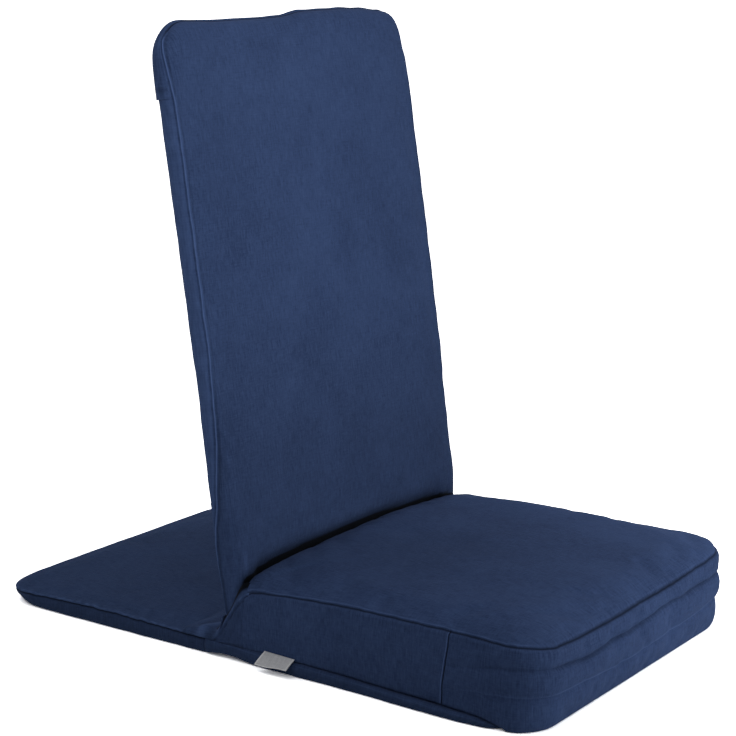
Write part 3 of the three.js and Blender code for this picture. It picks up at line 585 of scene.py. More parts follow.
def sheetForm(points, tone, thickness):
    # a thin closed sheet from a grid of points: each face lies half the thickness along the normal,
    # and a strip joins them at the rim
    du = np.gradient(points, axis=0)
    dv = np.gradient(points, axis=1)
    normal = np.cross(du, dv)
    normal = normal / (np.linalg.norm(normal, axis=2, keepdims=True) + 1e-12)
    rows, cols = points.shape[:2]
    half = normal * thickness / 2
    both = np.concatenate([(points + half).reshape(-1, 3), (points - half).reshape(-1, 3)])
    grid = np.arange(rows * cols).reshape(rows, cols)
    size = rows * cols
    face = np.stack([grid[:-1, :-1], grid[1:, :-1], grid[1:, 1:], grid[:-1, 1:]], 2).reshape(-1, 4)
    rim = np.concatenate([grid[:-1, 0], grid[-1, :-1], grid[:0:-1, -1], grid[0, :0:-1]])
    nextRim = np.roll(rim, -1)
    edge = np.stack([rim + size, nextRim + size, nextRim, rim], 1)
    faces = np.concatenate([face, (face + size)[:, ::-1], edge])
    runU = np.concatenate(
        [np.zeros((1, cols)), np.cumsum(np.linalg.norm(np.diff(points, axis=0), axis=2), 0)]
    )
    runV = np.concatenate(
        [np.zeros((rows, 1)), np.cumsum(np.linalg.norm(np.diff(points, axis=1), axis=2), 1)], 1
    )
    uv = np.stack([runU, runV], 2).reshape(-1, 2)
    uv = np.concatenate([uv, uv])
    return both, faces, uv[faces], np.concatenate([tone.ravel(), tone.ravel()])


def addPiece(name, form, material, body=None):
    # form holds points in millimetres, faces, cloth coordinates by corner and a seam tone by point
    points, faces, uv, tone = form
    corners = points[faces[:, :3]]
    volume = np.einsum("ij,ij->i", corners[:, 0], np.cross(corners[:, 1], corners[:, 2])).sum()
    corners = points[faces[:, [0, 2, 3]]]
    volume += np.einsum("ij,ij->i", corners[:, 0], np.cross(corners[:, 1], corners[:, 2])).sum()
    if volume < 0:
        faces, uv = faces[:, ::-1], uv[:, ::-1]
    mesh = bpy.data.meshes.new(name)
    mesh.from_pydata((points * mm).tolist(), [], faces.tolist())
    layer = mesh.uv_layers.new(name="cloth")
    layer.data.foreach_set("uv", (uv * mm).astype(np.float32).ravel())
    seam = mesh.attributes.new("paintedLightAndMarks", "FLOAT", "POINT")
    seam.data.foreach_set("value", np.ascontiguousarray(tone, np.float32))
    mesh.polygons.foreach_set("use_smooth", np.ones(len(faces), bool))
    mesh.materials.append(materials[material])
    mesh.update()
    piece = bpy.data.objects.new(name, mesh)
    scene.collection.objects.link(piece)
    if body:
        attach(piece, body)
    return piece


def meshPoints(mesh):
    flat = np.empty(len(mesh.vertices) * 3, np.float32)
    mesh.vertices.foreach_get("co", flat)
    return flat.reshape(-1, 3).astype(float)


def puffed(points, faces, held, cushion):
    # a cloth run on a coarse cage: pressure blows it up between its held points; returns the moved points,
    # none further than the cap from where it was
    mesh = bpy.data.meshes.new("cage")
    mesh.from_pydata((points * mm).tolist(), [], faces.tolist())
    cage = bpy.data.objects.new("cage", mesh)
    scene.collection.objects.link(cage)
    group = cage.vertex_groups.new(name="held")
    lastFrame = 20
    for level in (1.0, 0.5, 0.15):
        chosen = np.flatnonzero((held > level - 0.2) & (held <= level + 0.2))
        group.add([int(k) for k in chosen], level, "REPLACE")
    cloth = cage.modifiers.new("cloth", "CLOTH")
    settings = cloth.settings
    settings.quality = 6
    settings.mass = 0.3
    settings.tension_stiffness = cushion["stiff"]
    settings.compression_stiffness = cushion["stiff"]
    settings.shear_stiffness = cushion["stiff"] / 3
    settings.bending_stiffness = cushion["bend"]
    settings.use_pressure = True
    settings.uniform_pressure_force = cushion["pressure"]
    settings.shrink_min = -cushion["spare"]
    settings.vertex_group_mass = "held"
    settings.effector_weights.gravity = 0
    cloth.collision_settings.use_collision = False
    cloth.point_cache.frame_start = 1
    cloth.point_cache.frame_end = lastFrame
    for step in range(1, lastFrame + 1):
        scene.frame_set(step)
    settled = cage.evaluated_get(bpy.context.evaluated_depsgraph_get())
    moved = meshPoints(settled.data) / mm
    scene.frame_set(1)
    bpy.data.objects.remove(cage)
    bpy.data.meshes.remove(mesh)
    shift = moved - points
    size = np.linalg.norm(shift, axis=1, keepdims=True) + 1e-9
    print("  cloth moved up to %.1f mm" % size.max())
    return points + shift * np.minimum(1, cushion["cap"] / size)


def followCage(piece, points, moved, faces):
    # the fine piece is bound to the cage at rest and carried along as the cage swells
    mesh = bpy.data.meshes.new("cage")
    mesh.from_pydata((points * mm).tolist(), [], faces.tolist())
    cage = bpy.data.objects.new("cage", mesh)
    scene.collection.objects.link(cage)
    bind = piece.modifiers.new("follow", "SURFACE_DEFORM")
    bind.target = cage
    bind.falloff = 4
    bpy.context.view_layer.update()
    with bpy.context.temp_override(object=piece, active_object=piece, selected_objects=[piece]):
        bpy.ops.object.surfacedeform_bind(modifier="follow")
    if not bind.is_bound:
        print("  cage not bound for", piece.name)
    mesh.vertices.foreach_set("co", (moved * mm).astype(np.float32).ravel())
    mesh.update()
    bpy.context.view_layer.update()
    shaped = meshPoints(piece.evaluated_get(bpy.context.evaluated_depsgraph_get()).data)
    piece.modifiers.remove(bind)
    bpy.data.objects.remove(cage)
    bpy.data.meshes.remove(mesh)
    piece.data.vertices.foreach_set("co", shaped.astype(np.float32).ravel())
    piece.data.update()


def evenly(count, *extra):
    # even stops from -1 to 1, with closer ones added round the places given
    stops = np.linspace(-1, 1, count + 1)
    near = [place + step for place, gaps in extra for step in gaps]
    keep = [v for v in stops if all(abs(v - e) > 0.4 * 2 / count for e in near)]
    return np.array(sorted(keep + near))


def stitchRow(name, path, thread, material, body):
    # short threads laid along a path: each is a six-sided bead, thick in the middle and pointed at its ends
    run = np.concatenate([[0], np.cumsum(np.linalg.norm(np.diff(path, axis=0), axis=1))])
    count = max(1, int(run[-1] / thread["pitch"]))
    middles = (np.arange(count) + 0.5) * run[-1] / count
    stations = np.linspace(-0.5, 0.5, 5)
    places = middles[:, None] + stations[None] * thread["length"]
    at = np.stack([np.interp(places, run, path[:, k]) for k in range(3)], 2)
    along = at[:, -1] - at[:, 0]
    along = along / (np.linalg.norm(along, axis=1, keepdims=True) + 1e-12)
    guide = np.array([0.31, 0.17, 0.93])
    across = np.cross(along, guide)
    across = across / (np.linalg.norm(across, axis=1, keepdims=True) + 1e-12)
    third = np.cross(along, across)
    turn = np.arange(6) / 6 * 2 * np.pi
    thick = thread["radius"] * np.sqrt(np.clip(1 - (2 * stations) ** 2, 0.03, 1))
    cosine, sine = (wave(turn)[None, None, :, None] for wave in (np.cos, np.sin))
    spokes = cosine * across[:, None, None] + sine * third[:, None, None]
    ring = at[:, :, None] + thick[None, :, None, None] * spokes
    grid = np.arange(count * 30).reshape(count, 5, 6)
    low, high = grid[:, :-1], grid[:, 1:]
    sideFaces = np.stack([low, np.roll(low, -1, 2), np.roll(high, -1, 2), high], 3).reshape(-1, 4)
    ends = np.concatenate(
        [
            grid[:, 0, [0, 1, 2, 3]], grid[:, 0, [0, 3, 4, 5]], grid[:, -1, [3, 2, 1, 0]],
            grid[:, -1, [5, 4, 3, 0]],
        ]
    )
    points = ring.reshape(-1, 3)
    faces = np.concatenate([sideFaces, ends[:, ::-1]])
    uv = points[faces][:, :, :2]
    return addPiece(name, (points, faces, uv, np.zeros(len(points))), material, body)


# the back is drawn upright, its front face at y = 0 and its foot at z = 0, then leant by this
lean = {"tilt": math.radians(10), "foot": 145.925}


def leant(points):
    # turned about X by the tilt, then moved back to the foot
    x, y, z = np.moveaxis(np.asarray(points, float), -1, 0)
    c, s = math.cos(lean["tilt"]), math.sin(lean["tilt"])
    return np.stack([x, lean["foot"] + y * c + z * s, z * c - y * s], -1)


# Seat cushion

cushion = {
    "plan": (-190.0, 196.5, -155.0, 157.0),
    "radii": (36.0, 40.0, 5.0, 5.0),
    "seamSide": (
        [-118, -98, -16, 31, 69, 108, 124, 136, 147, 154, 157],
        [76.4, 77.3, 77.3, 77.0, 75.8, 73.5, 72.1, 71.0, 68.9, 67.2, 65.5],
    ),
    "seamFarSide": ([-118, 31, 115, 146, 157], [80.0, 80.0, 79.0, 78.0, 75.0]),
    "seamFront": (
        [-190, -159, -117, -65, -4, 59, 127, 162, 190],
        [77, 73.8, 70.7, 69.6, 70.2, 71.0, 73.5, 76.3, 78.5],
    ),
    "seamRear": (
        [-190, -185, -176, -160, -120, -60, 0, 60, 120, 160, 190],
        [64, 71, 76.5, 79, 82.5, 85, 86, 86, 83.5, 80.5, 72],
    ),
    "rearCrown": (
        [-190, -184, -176, -160, -128, -96, -62, -28, 8, 44, 81, 119, 158, 177, 190],
        [74.5, 80.5, 84.9, 87.4, 89.2, 90.2, 90.4, 91.2, 91.8, 91.6, 90.4, 88.4, 86.4, 83.6, 79],
    ),
    "lowEdge": (
        [-126, -116, -96, -58, -8, 50, 96, 144, 157], [0.6, 3.6, 7.0, 8.6, 9.6, 12.0, 12.9, 13.4, 13.4]
    ),
    "upperCrease": (
        [-190, -142, -114, -70, -6, 31, 74, 107, 160, 190],
        [57.5, 55.0, 51.5, 52.5, 52.5, 56.0, 56.2, 57.2, 57.6, 58.0],
    ),
    "lowerCrease": (
        [-190, -109, -50, -3, 38, 77, 128, 167, 190],
        [31.5, 30.5, 25.5, 26.0, 27.6, 28.5, 31.5, 33.8, 34.0],
    ),
    "upperCreaseSide": ([-137, -118, -93, -70, -60], [57.5, 56.5, 52.0, 47.5, 46.0]),
    "lowerCreaseSide": ([-137, -114, -93, -62, -50], [31.5, 30.8, 29.7, 22.5, 22.0]),
    "sideSeam": (-65.5, -58.5),  # y of the upright seam at the top and at the foot
    "crown": 87.0,
    "crownArch": 1.0,  # how much higher the crown is along the middle
    "swell": 2.2,  # how far the sides stand out behind the upright seam
    "strips": (2.6, 4.2, 2.4),  # how far the lower, middle and upper strip stand out ahead of it
    "creases": (1.1, 1.6),  # how deep the lower and the upper crease are
    "topSeam": 1.5,  # how deep the top seam and the foot's seam lie
    "footSeam": 1.6,
    "pressed": 0.93,
    "drawIn": 2.2,
    "press": {"pressure": 5.0, "stiff": 24.0, "bend": 1.5, "spare": 0.006, "cap": 4.0},
}
cushionPlan = roundedOutline(*cushion["plan"], cushion["radii"])


def cushionLines(g):
    # heights of the top seam, the foot and the two creases at each place round the cushion
    x, y, nx, ny = onOutline(cushionPlan, g)
    near = np.interp(y, *cushion["seamSide"])
    far = np.interp(y, *cushion["seamFarSide"])
    side = np.where(x < 0, near, far)
    front = np.interp(x, *cushion["seamFront"])
    rear = np.interp(x, *cushion["seamRear"])
    atFront = ease(-y, 117, 153)
    atRear = ease(y, 146, 157)
    seam = side * (1 - atFront) * (1 - atRear) + front * atFront + rear * atRear
    foot = np.interp(y, *cushion["lowEdge"])
    upper = (
        np.interp(x, *cushion["upperCrease"]) * atFront
        + np.interp(y, *cushion["upperCreaseSide"]) * (1 - atFront)
    )
    lower = (
        np.interp(x, *cushion["lowerCrease"]) * atFront
        + np.interp(y, *cushion["lowerCreaseSide"]) * (1 - atFront)
    )
    return x, y, nx, ny, seam, foot, upper, lower


def cushionSide(g, h, plain=False):
    # the plan's outline at height h between foot and seam, pushed out by a half sine of h behind the
    # upright seam, by one half sine for each strip ahead of it, and drawn in along the sides by a sine
    x, y, nx, ny, seam, foot, upper, lower = cushionLines(g)
    z = foot + (seam - foot) * h
    split = cushion["sideSeam"][1] + (cushion["sideSeam"][0] - cushion["sideSeam"][1]) * z / 77
    seamY = sum(cushion["sideSeam"]) / 2
    y = y + (split - seamY) * np.exp(-((y - seamY) / 26) ** 2)
    creased = 1 - ease(y, split - 7, split + 5)
    frontY, rearY = cushion["plan"][2:]
    along = np.clip((y - frontY) / (rearY - frontY), 0, 1)
    onSide = np.abs(nx)
    inward = cushion["drawIn"] * np.sin(np.pi * along) * onSide
    # behind the upright seam: one soft swell; ahead of it three strips between the creases
    swell = cushion["swell"] * np.sin(np.pi * h) ** 0.8
    lowPart = np.clip(z / lower, 0, 1)
    midPart = np.clip((z - lower) / (upper - lower), 0, 1)
    topPart = np.clip((z - upper) / (seam - upper), 0, 1)
    tuck = (1.2 + 2.8 * ease(-ny, 0.3, 0.9)) * (1 - lowPart) ** 2.6
    lowStrip = cushion["strips"][0] * np.sin(np.pi * lowPart ** 0.7) ** 0.75 - tuck
    midStrip = cushion["strips"][1] * np.sin(np.pi * midPart) ** 0.6
    topStrip = cushion["strips"][2] * np.sin(np.pi * topPart) ** 0.65
    strips = np.where(z < lower, lowStrip, np.where(z < upper, midStrip, topStrip))
    strips = strips * (0.45 + 0.55 * ease(-y, 80, 150))
    offset = swell * (1 - creased) + strips * creased - inward
    tone = np.zeros_like(z)
    if not plain:
        frontness = 0.12 + 0.3 * ease(-y, 60, 150) + 0.58 * ease(x, -176, -140)
        lowerDeep, upperDeep = cushion["creases"]
        valley = np.exp(-((z - upper) / 1.5) ** 2) * upperDeep * frontness
        valley = valley + np.exp(-((z - lower) / 1.4) ** 2) * lowerDeep * frontness
        offset = offset - valley * creased
        # painted shade in the upper crease, and a painted highlight on the strip just above the lower crease
        tone = tone - 0.55 * np.exp(-((z - upper) / 1.3) ** 2) * creased * frontness
        tone = tone + 0.5 * np.exp(-((z - lower - 1.6) / 1.2) ** 2) * creased * frontness
        fromSeam = y - split
        upright = onSide * (z > foot + 2)
        offset = (
            offset
            + upright * (
                0.3 * np.exp(-((fromSeam - 1.1) / 0.55) ** 2)
                - 0.8 * np.exp(-((fromSeam + 0.1) / 0.6) ** 2)
            )
        )
        # a painted highlight on the upright seam's ridge and painted shade in its groove
        tone = (
            tone
            + upright * (
                0.8 * np.exp(-((fromSeam - 1.1) / 0.42) ** 2)
                - 1.5 * np.exp(-((fromSeam + 0.1) / 0.42) ** 2)
            )
        )
        below = seam - z
        offset = (
            offset
            - cushion["topSeam"] * np.exp(-(below / 0.9) ** 2)
            + 0.4 * np.exp(-((below - 3.0) / 1.5) ** 2)
        )
        # painted shade in the top seam's groove
        tone = tone - 1.2 * np.exp(-(below / 0.55) ** 2)
        above = z - foot
        offset = offset - cushion["footSeam"] * np.exp(-(above / 1.6) ** 2) * (y > -124)
        # painted shade in the foot's seam
        tone = tone - 0.6 * np.exp(-(above / 1.4) ** 2) * (y > -124)
        offset = (
            offset
            + (
                0.35 * ripple(g * rimLength, z, 60, 3) + 0.18 * ripple(g * rimLength, z * 2.5, 22, 4)
            ) * ease(h, 0, 0.2)
        )
        # soft pulls run down from the top seam
        offset = offset + 0.3 * ripple(g * rimLength, z * 0.25, 16, 5) * np.exp(-(below / 9) ** 2)
    return np.stack([x + nx * offset, y + ny * offset, z], -1), tone


def cushionTop(g, rho, plain=False):
    # the side's upper edge shrunk to the middle by rho, and raised from the seam to the crown by
    # (1 - rho to a power) to a second power, with a steeper rim at the rear, the far side and the corners
    x, y, nx, ny, seam = cushionLines(g)[:5]
    edge = cushionSide(g, np.ones_like(g), plain)[0]
    px = edge[..., 0] * rho
    py = edge[..., 1] * rho
    behind = ease(ny, 0.55, 0.95)
    far = ease(nx, 0.4, 0.9) * (1 - behind)
    corner = ease(np.abs(x) * rho, 150, 186) * ease(y * rho, 112, 150)
    power = 7 + 9 * behind + 8 * far + 6 * corner * (1 - behind)
    bend = (0.5 - 0.02 * behind - 0.1 * far) * (1 - corner) + 0.27 * corner
    rise = np.clip(1 - rho ** power, 0, 1) ** bend
    crown = cushion["crown"] + cushion["crownArch"] * np.cos(px / 190 * np.pi / 2)
    rearward = ease(py, 40, 150)
    crown = crown * (1 - rearward) + np.interp(px, *cushion["rearCrown"]) * rearward
    z = seam + (crown - seam) * rise
    tone = np.zeros_like(z)
    if not plain:
        inset = np.hypot(edge[..., 0] - px, edge[..., 1] - py)
        lip = np.exp(-((inset - 1.3) / 0.9) ** 2)
        z = z + 0.2 * lip
        # a painted highlight on the lip just inside the rim, strongest on the near side, and painted shade
        # in the seam except along the rear
        tone = (
            0.4 * np.exp(-((inset - 1.0) / 0.6) ** 2) * (0.1 + 0.9 * ease(-nx, 0.4, 0.9))
            - 1.1 * np.exp(-(inset / 0.45) ** 2) * (1 - behind)
        )
        # painted shade along the rear edge, under the back
        fromRear = cushion["plan"][3] - py
        shade = 0.35 * np.exp(-(fromRear / 16) ** 2) + 0.8 * np.exp(-(fromRear / 4) ** 2)
        tone = tone - shade * (1 - ease(np.abs(px), 178, 190))
        # painted shade over the middle of the top towards the rear, and painted light towards the far side
        tone = (
            tone
            - 0.3 * np.exp(-((px + 60) / 130) ** 2 - ((py - 60) / 100) ** 2) * (1 - rho ** 8)
            + 0.14 * ease(px, 60, 170)
        )
        z = (
            z
            + 0.5 * ripple(px, py, 130, 11) * (1 - rho ** 8)
            + 0.14 * ripple(px, py, 38, 12) * (1 - rho ** 8)
        )
        z = z + 0.14 * ripple(g * rimLength, rho * 20, 30, 13) * np.exp(-((inset - 6) / 6) ** 2)
    return np.stack([px, py, z], -1), tone


def cushionUnder(g, rho, plain=False):
    # the side's lower edge shrunk by rho; the height blends to a table of y away from the edge
    edge = cushionSide(g, np.zeros_like(g), plain)[0]
    px, py = edge[..., 0] * rho, edge[..., 1] * rho
    foot = np.interp(py, *cushion["lowEdge"])
    return np.stack([px, py, foot * (1 - rho ** 6) + edge[..., 2] * rho ** 6], -1), np.zeros_like(rho)


# closer rows at every rim, and closer columns round the upright seam, which lies 85.3 mm along its side
# from the front corner's middle
halfSide = 151.6  # half the length of that side
seamGaps = (-2.2, -1.4, -0.9, -0.5, -0.1, 0.3, 0.7, 1.1, 1.5, 2.2, 3.2)
seamStops = ((85.3 / halfSide - 1, tuple(v / halfSide for v in seamGaps)),)
rimStops = lambda reach: tuple(
    (side, tuple(-side * v / reach for v in (0, 0.5, 1.0, 1.6, 2.4, 3.6))) for side in (-1, 1)
)
cushionGrid = (
    evenly(112, *rimStops(192)),
    evenly(94, *rimStops(156), *seamStops),
    np.concatenate(
        [
            [0, 0.008, 0.018, 0.03, 0.045],
            np.linspace(0.065, 0.93, 46),
            [0.945, 0.957, 0.967, 0.975, 0.982, 0.988, 0.994, 1],
        ]
    ),
)
cushionForm = closedForm(*cushionGrid, cushionTop, cushionSide, cushionUnder)
seatCushion = addPiece("seatCushion", cushionForm, "canvas")

plainSide = lambda g, h: cushionSide(g, h, True)
plainTop = lambda g, rho: cushionTop(g, rho, True)
plainUnder = lambda g, rho: cushionUnder(g, rho, True)
cageForm = closedForm(evenly(46), evenly(40), np.linspace(0, 1, 11), plainTop, plainSide, plainUnder)
cagePoints, cageFaces = cageForm[:2]
cageLow = np.interp(cagePoints[:, 1], *cushion["lowEdge"])
seamGap = np.abs(cagePoints[:, 2] - np.where(np.abs(cagePoints[:, 0]) > 150, 77.5, 71))
rimward = np.maximum(np.abs(cagePoints[:, 0]) / 190, np.abs(cagePoints[:, 1]) / 156)
held = np.where((seamGap < 4) & (rimward > 0.93), 1.0, 0.0)
held = np.where(cagePoints[:, 2] < cageLow + 3, 1.0, held)
held = np.where(cagePoints[:, 1] > 150, 1.0, held)
cageMoved = puffed(cagePoints, cageFaces, held, cushion["press"])
followCage(seatCushion, cagePoints, cageMoved, cageFaces)
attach(seatCushion, "seat")
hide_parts("seat_cover", "zip_flap")
# under the folded back
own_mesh(seatCushion)
print("stage: seat cushion")

# Base layer under the seat

base = {
    "plan": (-190.3, 190.3, -126.0, 200.0),
    "radii": (26.0, 26.0, 2.0, 2.0),
    "top": (
        [-126, -116, -96, -58, -8, 50, 96, 144, 171, 200],
        [0.9, 3.4, 6.8, 8.5, 9.4, 11.8, 12.7, 14.6, 15.0, 16.2],
    ),
    "belly": 4.2,  # how far the near side stands out towards the front
    "bellyAt": -72.0,  # the y at which it stands out most, and how far that reaches ahead and behind
    "bellyReach": (36, 78),
    "swell": 1.0,
    "tuck": (0.7, 1.2),  # how far its foot and its top edge are drawn in
    "middle": 37.0,  # the y that the top and the underside shrink towards
    "clear": 0.3,  # above the floor
    "arch": ([-126, 130, 145, 160, 171, 183, 195, 200], [0, 0, 0.6, 2.6, 3.6, 3.2, 1.4, 0.6]),
}
basePlan = roundedOutline(*base["plan"], base["radii"])


def baseSide(g, h):
    # the plan's outline from the arch up to the top line, rounded by a half sine of h, with a belly
    x, y, nx, ny = onOutline(basePlan, g)
    low = base["clear"] + np.interp(y, *base["arch"])
    high = np.interp(y, *base["top"])
    z = low + (high - low) * h
    offset = (
        base["swell"] * np.sin(np.pi * h) ** 0.6
        - base["tuck"][0] * (1 - h) ** 4
        - base["tuck"][1] * h ** 8
    )
    fromBelly = y - base["bellyAt"]
    belly = np.exp(-(fromBelly / np.where(fromBelly < 0, *base["bellyReach"])) ** 2)
    offset = offset + base["belly"] * ease(-nx, 0.3, 0.9) * belly
    offset = offset + 0.3 * ripple(g * rimLength, z * 2, 42, 21)
    # paler just under the top edge, painted shade in the fold at the edge itself, and a little darker all
    # over
    tone = 0.35 * np.exp(-((h - 0.86) / 0.07) ** 2) - 0.5 * np.exp(-((h - 1) / 0.06) ** 2) - 0.22
    return np.stack([x + nx * offset, y + ny * offset, z], -1), tone


def baseTop(g, rho):
    # the side's upper edge shrunk by rho; the height blends to a table of y away from the edge
    edge = baseSide(g, np.ones_like(g))[0]
    px = edge[..., 0] * rho
    py = base["middle"] + (edge[..., 1] - base["middle"]) * rho
    high = np.interp(py, *base["top"])
    z = high * (1 - rho ** 12) + edge[..., 2] * rho ** 12
    return np.stack([px, py, np.where(rho > 0.97, z, z - 0.9 * (1 - rho ** 12))], -1), np.zeros_like(rho)


def baseUnder(g, rho):
    # the side's lower edge shrunk by rho, over the arch
    edge = baseSide(g, np.zeros_like(g))[0]
    px = edge[..., 0] * rho
    py = base["middle"] + (edge[..., 1] - base["middle"]) * rho
    low = base["clear"] + np.interp(py, *base["arch"])
    return np.stack([px, py, low], -1), np.zeros_like(rho)


seatBase = addPiece(
    "seatBase",
    closedForm(evenly(70), evenly(100), np.linspace(0, 1, 13), baseTop, baseSide, baseUnder),
    "canvasPaintedShade",
    "seat",
)
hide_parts("seat_base_sleeve")
print("stage: seat base")

# Back cover

backShape = {
    "plan": (-188.6, 196.4, 40.0, 590.6),  # x and height along the leaf
    "radii": (8.0, 8.0, 24.0, 37.0),
    "topLine": (
        [-190, -165, -150, -108, -62, -22, 4, 19, 33, 105, 140, 165, 190],
        [0.4, 0.9, 0.8, -0.8, -0.6, -0.2, 0.8, 3.0, 4.7, 5.2, 4.2, 1.6, 0.5],
    ),
    # how far the front seam runs rearwards near the top
    "pull": ([505, 520, 543, 560, 574, 592], [0, 0.4, 3.2, 6.5, 11.0, 12.0]),
    # the same, at the sides near the foot
    "sideRun": (
        [50, 61, 90, 110, 128, 142, 156, 194, 212, 231, 249, 300],
        [24.0, 24.0, 23.4, 22.4, 20.2, 16.2, 12.8, 7.0, 4.5, 3.1, 2.2, 0.0],
    ),
    "squeeze": 15.0,
    "swell": 2.6,  # how much thicker it is at the foot of both sides
    # where the cushion touches the face
    "contact": (
        [-193, -185, -176, -161, -145, -128, -112, -96, -79, -45, -10, 44, 72, 100, 119, 158, 177, 190],
        [
            75.6, 80.1, 83.7, 84.5, 85.3, 87.0, 87.8, 88.7, 89.6, 89.6, 90.4, 91.0, 90.1, 88.9, 87.9,
            86.7, 84.6, 80,
        ],
    ),
    "thick": 21.5,
    "loft": 1.9,
    "sideSwell": 4.2,  # how far its sides stand out between the seams
    "middle": 320.0,  # the height that both faces shrink towards
    "pressed": 0.8,
    "press": {"pressure": 2.2, "stiff": 30.0, "bend": 2.0, "spare": 0.004, "cap": 2.2},
}
backPlan = roundedOutline(*backShape["plan"], backShape["radii"])


def backWave(x, z):
    # the wavy line of the back's top edge, faded out below it
    return np.interp(x, *backShape["topLine"]) * ease(z, 500, 592)


def backFront(z, nz):
    # depth of the front edge: a table of height, a fifth less along the top edge, where the face rolls over
    return np.interp(z, *backShape["pull"]) * (1 - 0.2 * ease(nz, 0.5, 1))


def lowSqueeze(x, z):
    # how far the face is pressed in low down, where the cushion touches it: a smooth step down with height,
    # less at both sides, in front of the hinge arms
    return backShape["squeeze"] * ease(-z, -107, -62) * (1 - 0.76 * ease(np.abs(x), 150, 170))


def footSwell(x, z):
    # a smooth step down with height, times a smooth step up with the distance from the middle
    return backShape["swell"] * (1 - ease(z, 100, 200)) * ease(np.abs(x), 150, 185)


def seamDepth(x, z, nx, nz):
    # depth of the seam round the front face: at the sides it runs rearwards towards the foot
    return np.maximum(
        backFront(z, nz) + lowSqueeze(x, z), np.interp(z, *backShape["sideRun"]) * np.abs(nx)
    )


def backSide(g, h, plain=False):
    # the leaf's outline pushed out by a half sine of h; h is 0 at the rear edge and 1 at the front seam
    x, z, nx, nz = onOutline(backPlan, g)
    low = ease(-z, -100, -50)
    front = seamDepth(x, z, nx, nz)
    thick = backShape["thick"] + footSwell(x, z)
    y = thick + (front - thick) * h
    depth = (thick - front) / thick
    offset = (
        backShape["sideSwell"] * depth * np.sin(np.pi * h) ** 0.85
        - 2.0 * low * np.abs(nx)
        - 1.2 * (1 - h) ** 4
    )
    offset = offset + 1.8 * np.abs(nx) * np.exp(-((z - 176) / 44) ** 2)
    tone = np.zeros_like(y)
    if not plain:
        fromFront = y - front
        offset = (
            offset
            + 0.5 * np.exp(-((fromFront - 0.6) / 0.8) ** 2)
            - 0.7 * np.exp(-((fromFront - 2.2) / 0.9) ** 2)
        )
        onTop = ease(nz, 0.5, 0.9)
        # painted light over the whole side, a painted highlight on the seam's ridge that turns to painted
        # shade along the top edge, where the cloth rolls over, and painted shade in the groove and towards
        # the rear edge
        tone = (
            0.3
            + 0.4 * (1 - 2.2 * onTop) * np.exp(-((fromFront - 0.5) / 0.7) ** 2)
            - 0.3 * np.exp(-((fromFront - 2.3) / 0.8) ** 2)
            - 0.2 * (1 - h)
        )
        tone = tone - 0.9 * onTop
        offset = (
            offset
            + 0.4 * ripple(z, y * 3, 46, 31)
            + 0.25 * ripple(z, y, 15, 32) * np.exp(-((fromFront - 4) / 5) ** 2)
        )
    px, pz = x + nx * offset, z + nz * offset
    return np.stack([px, y, pz + backWave(px, pz)], -1), tone


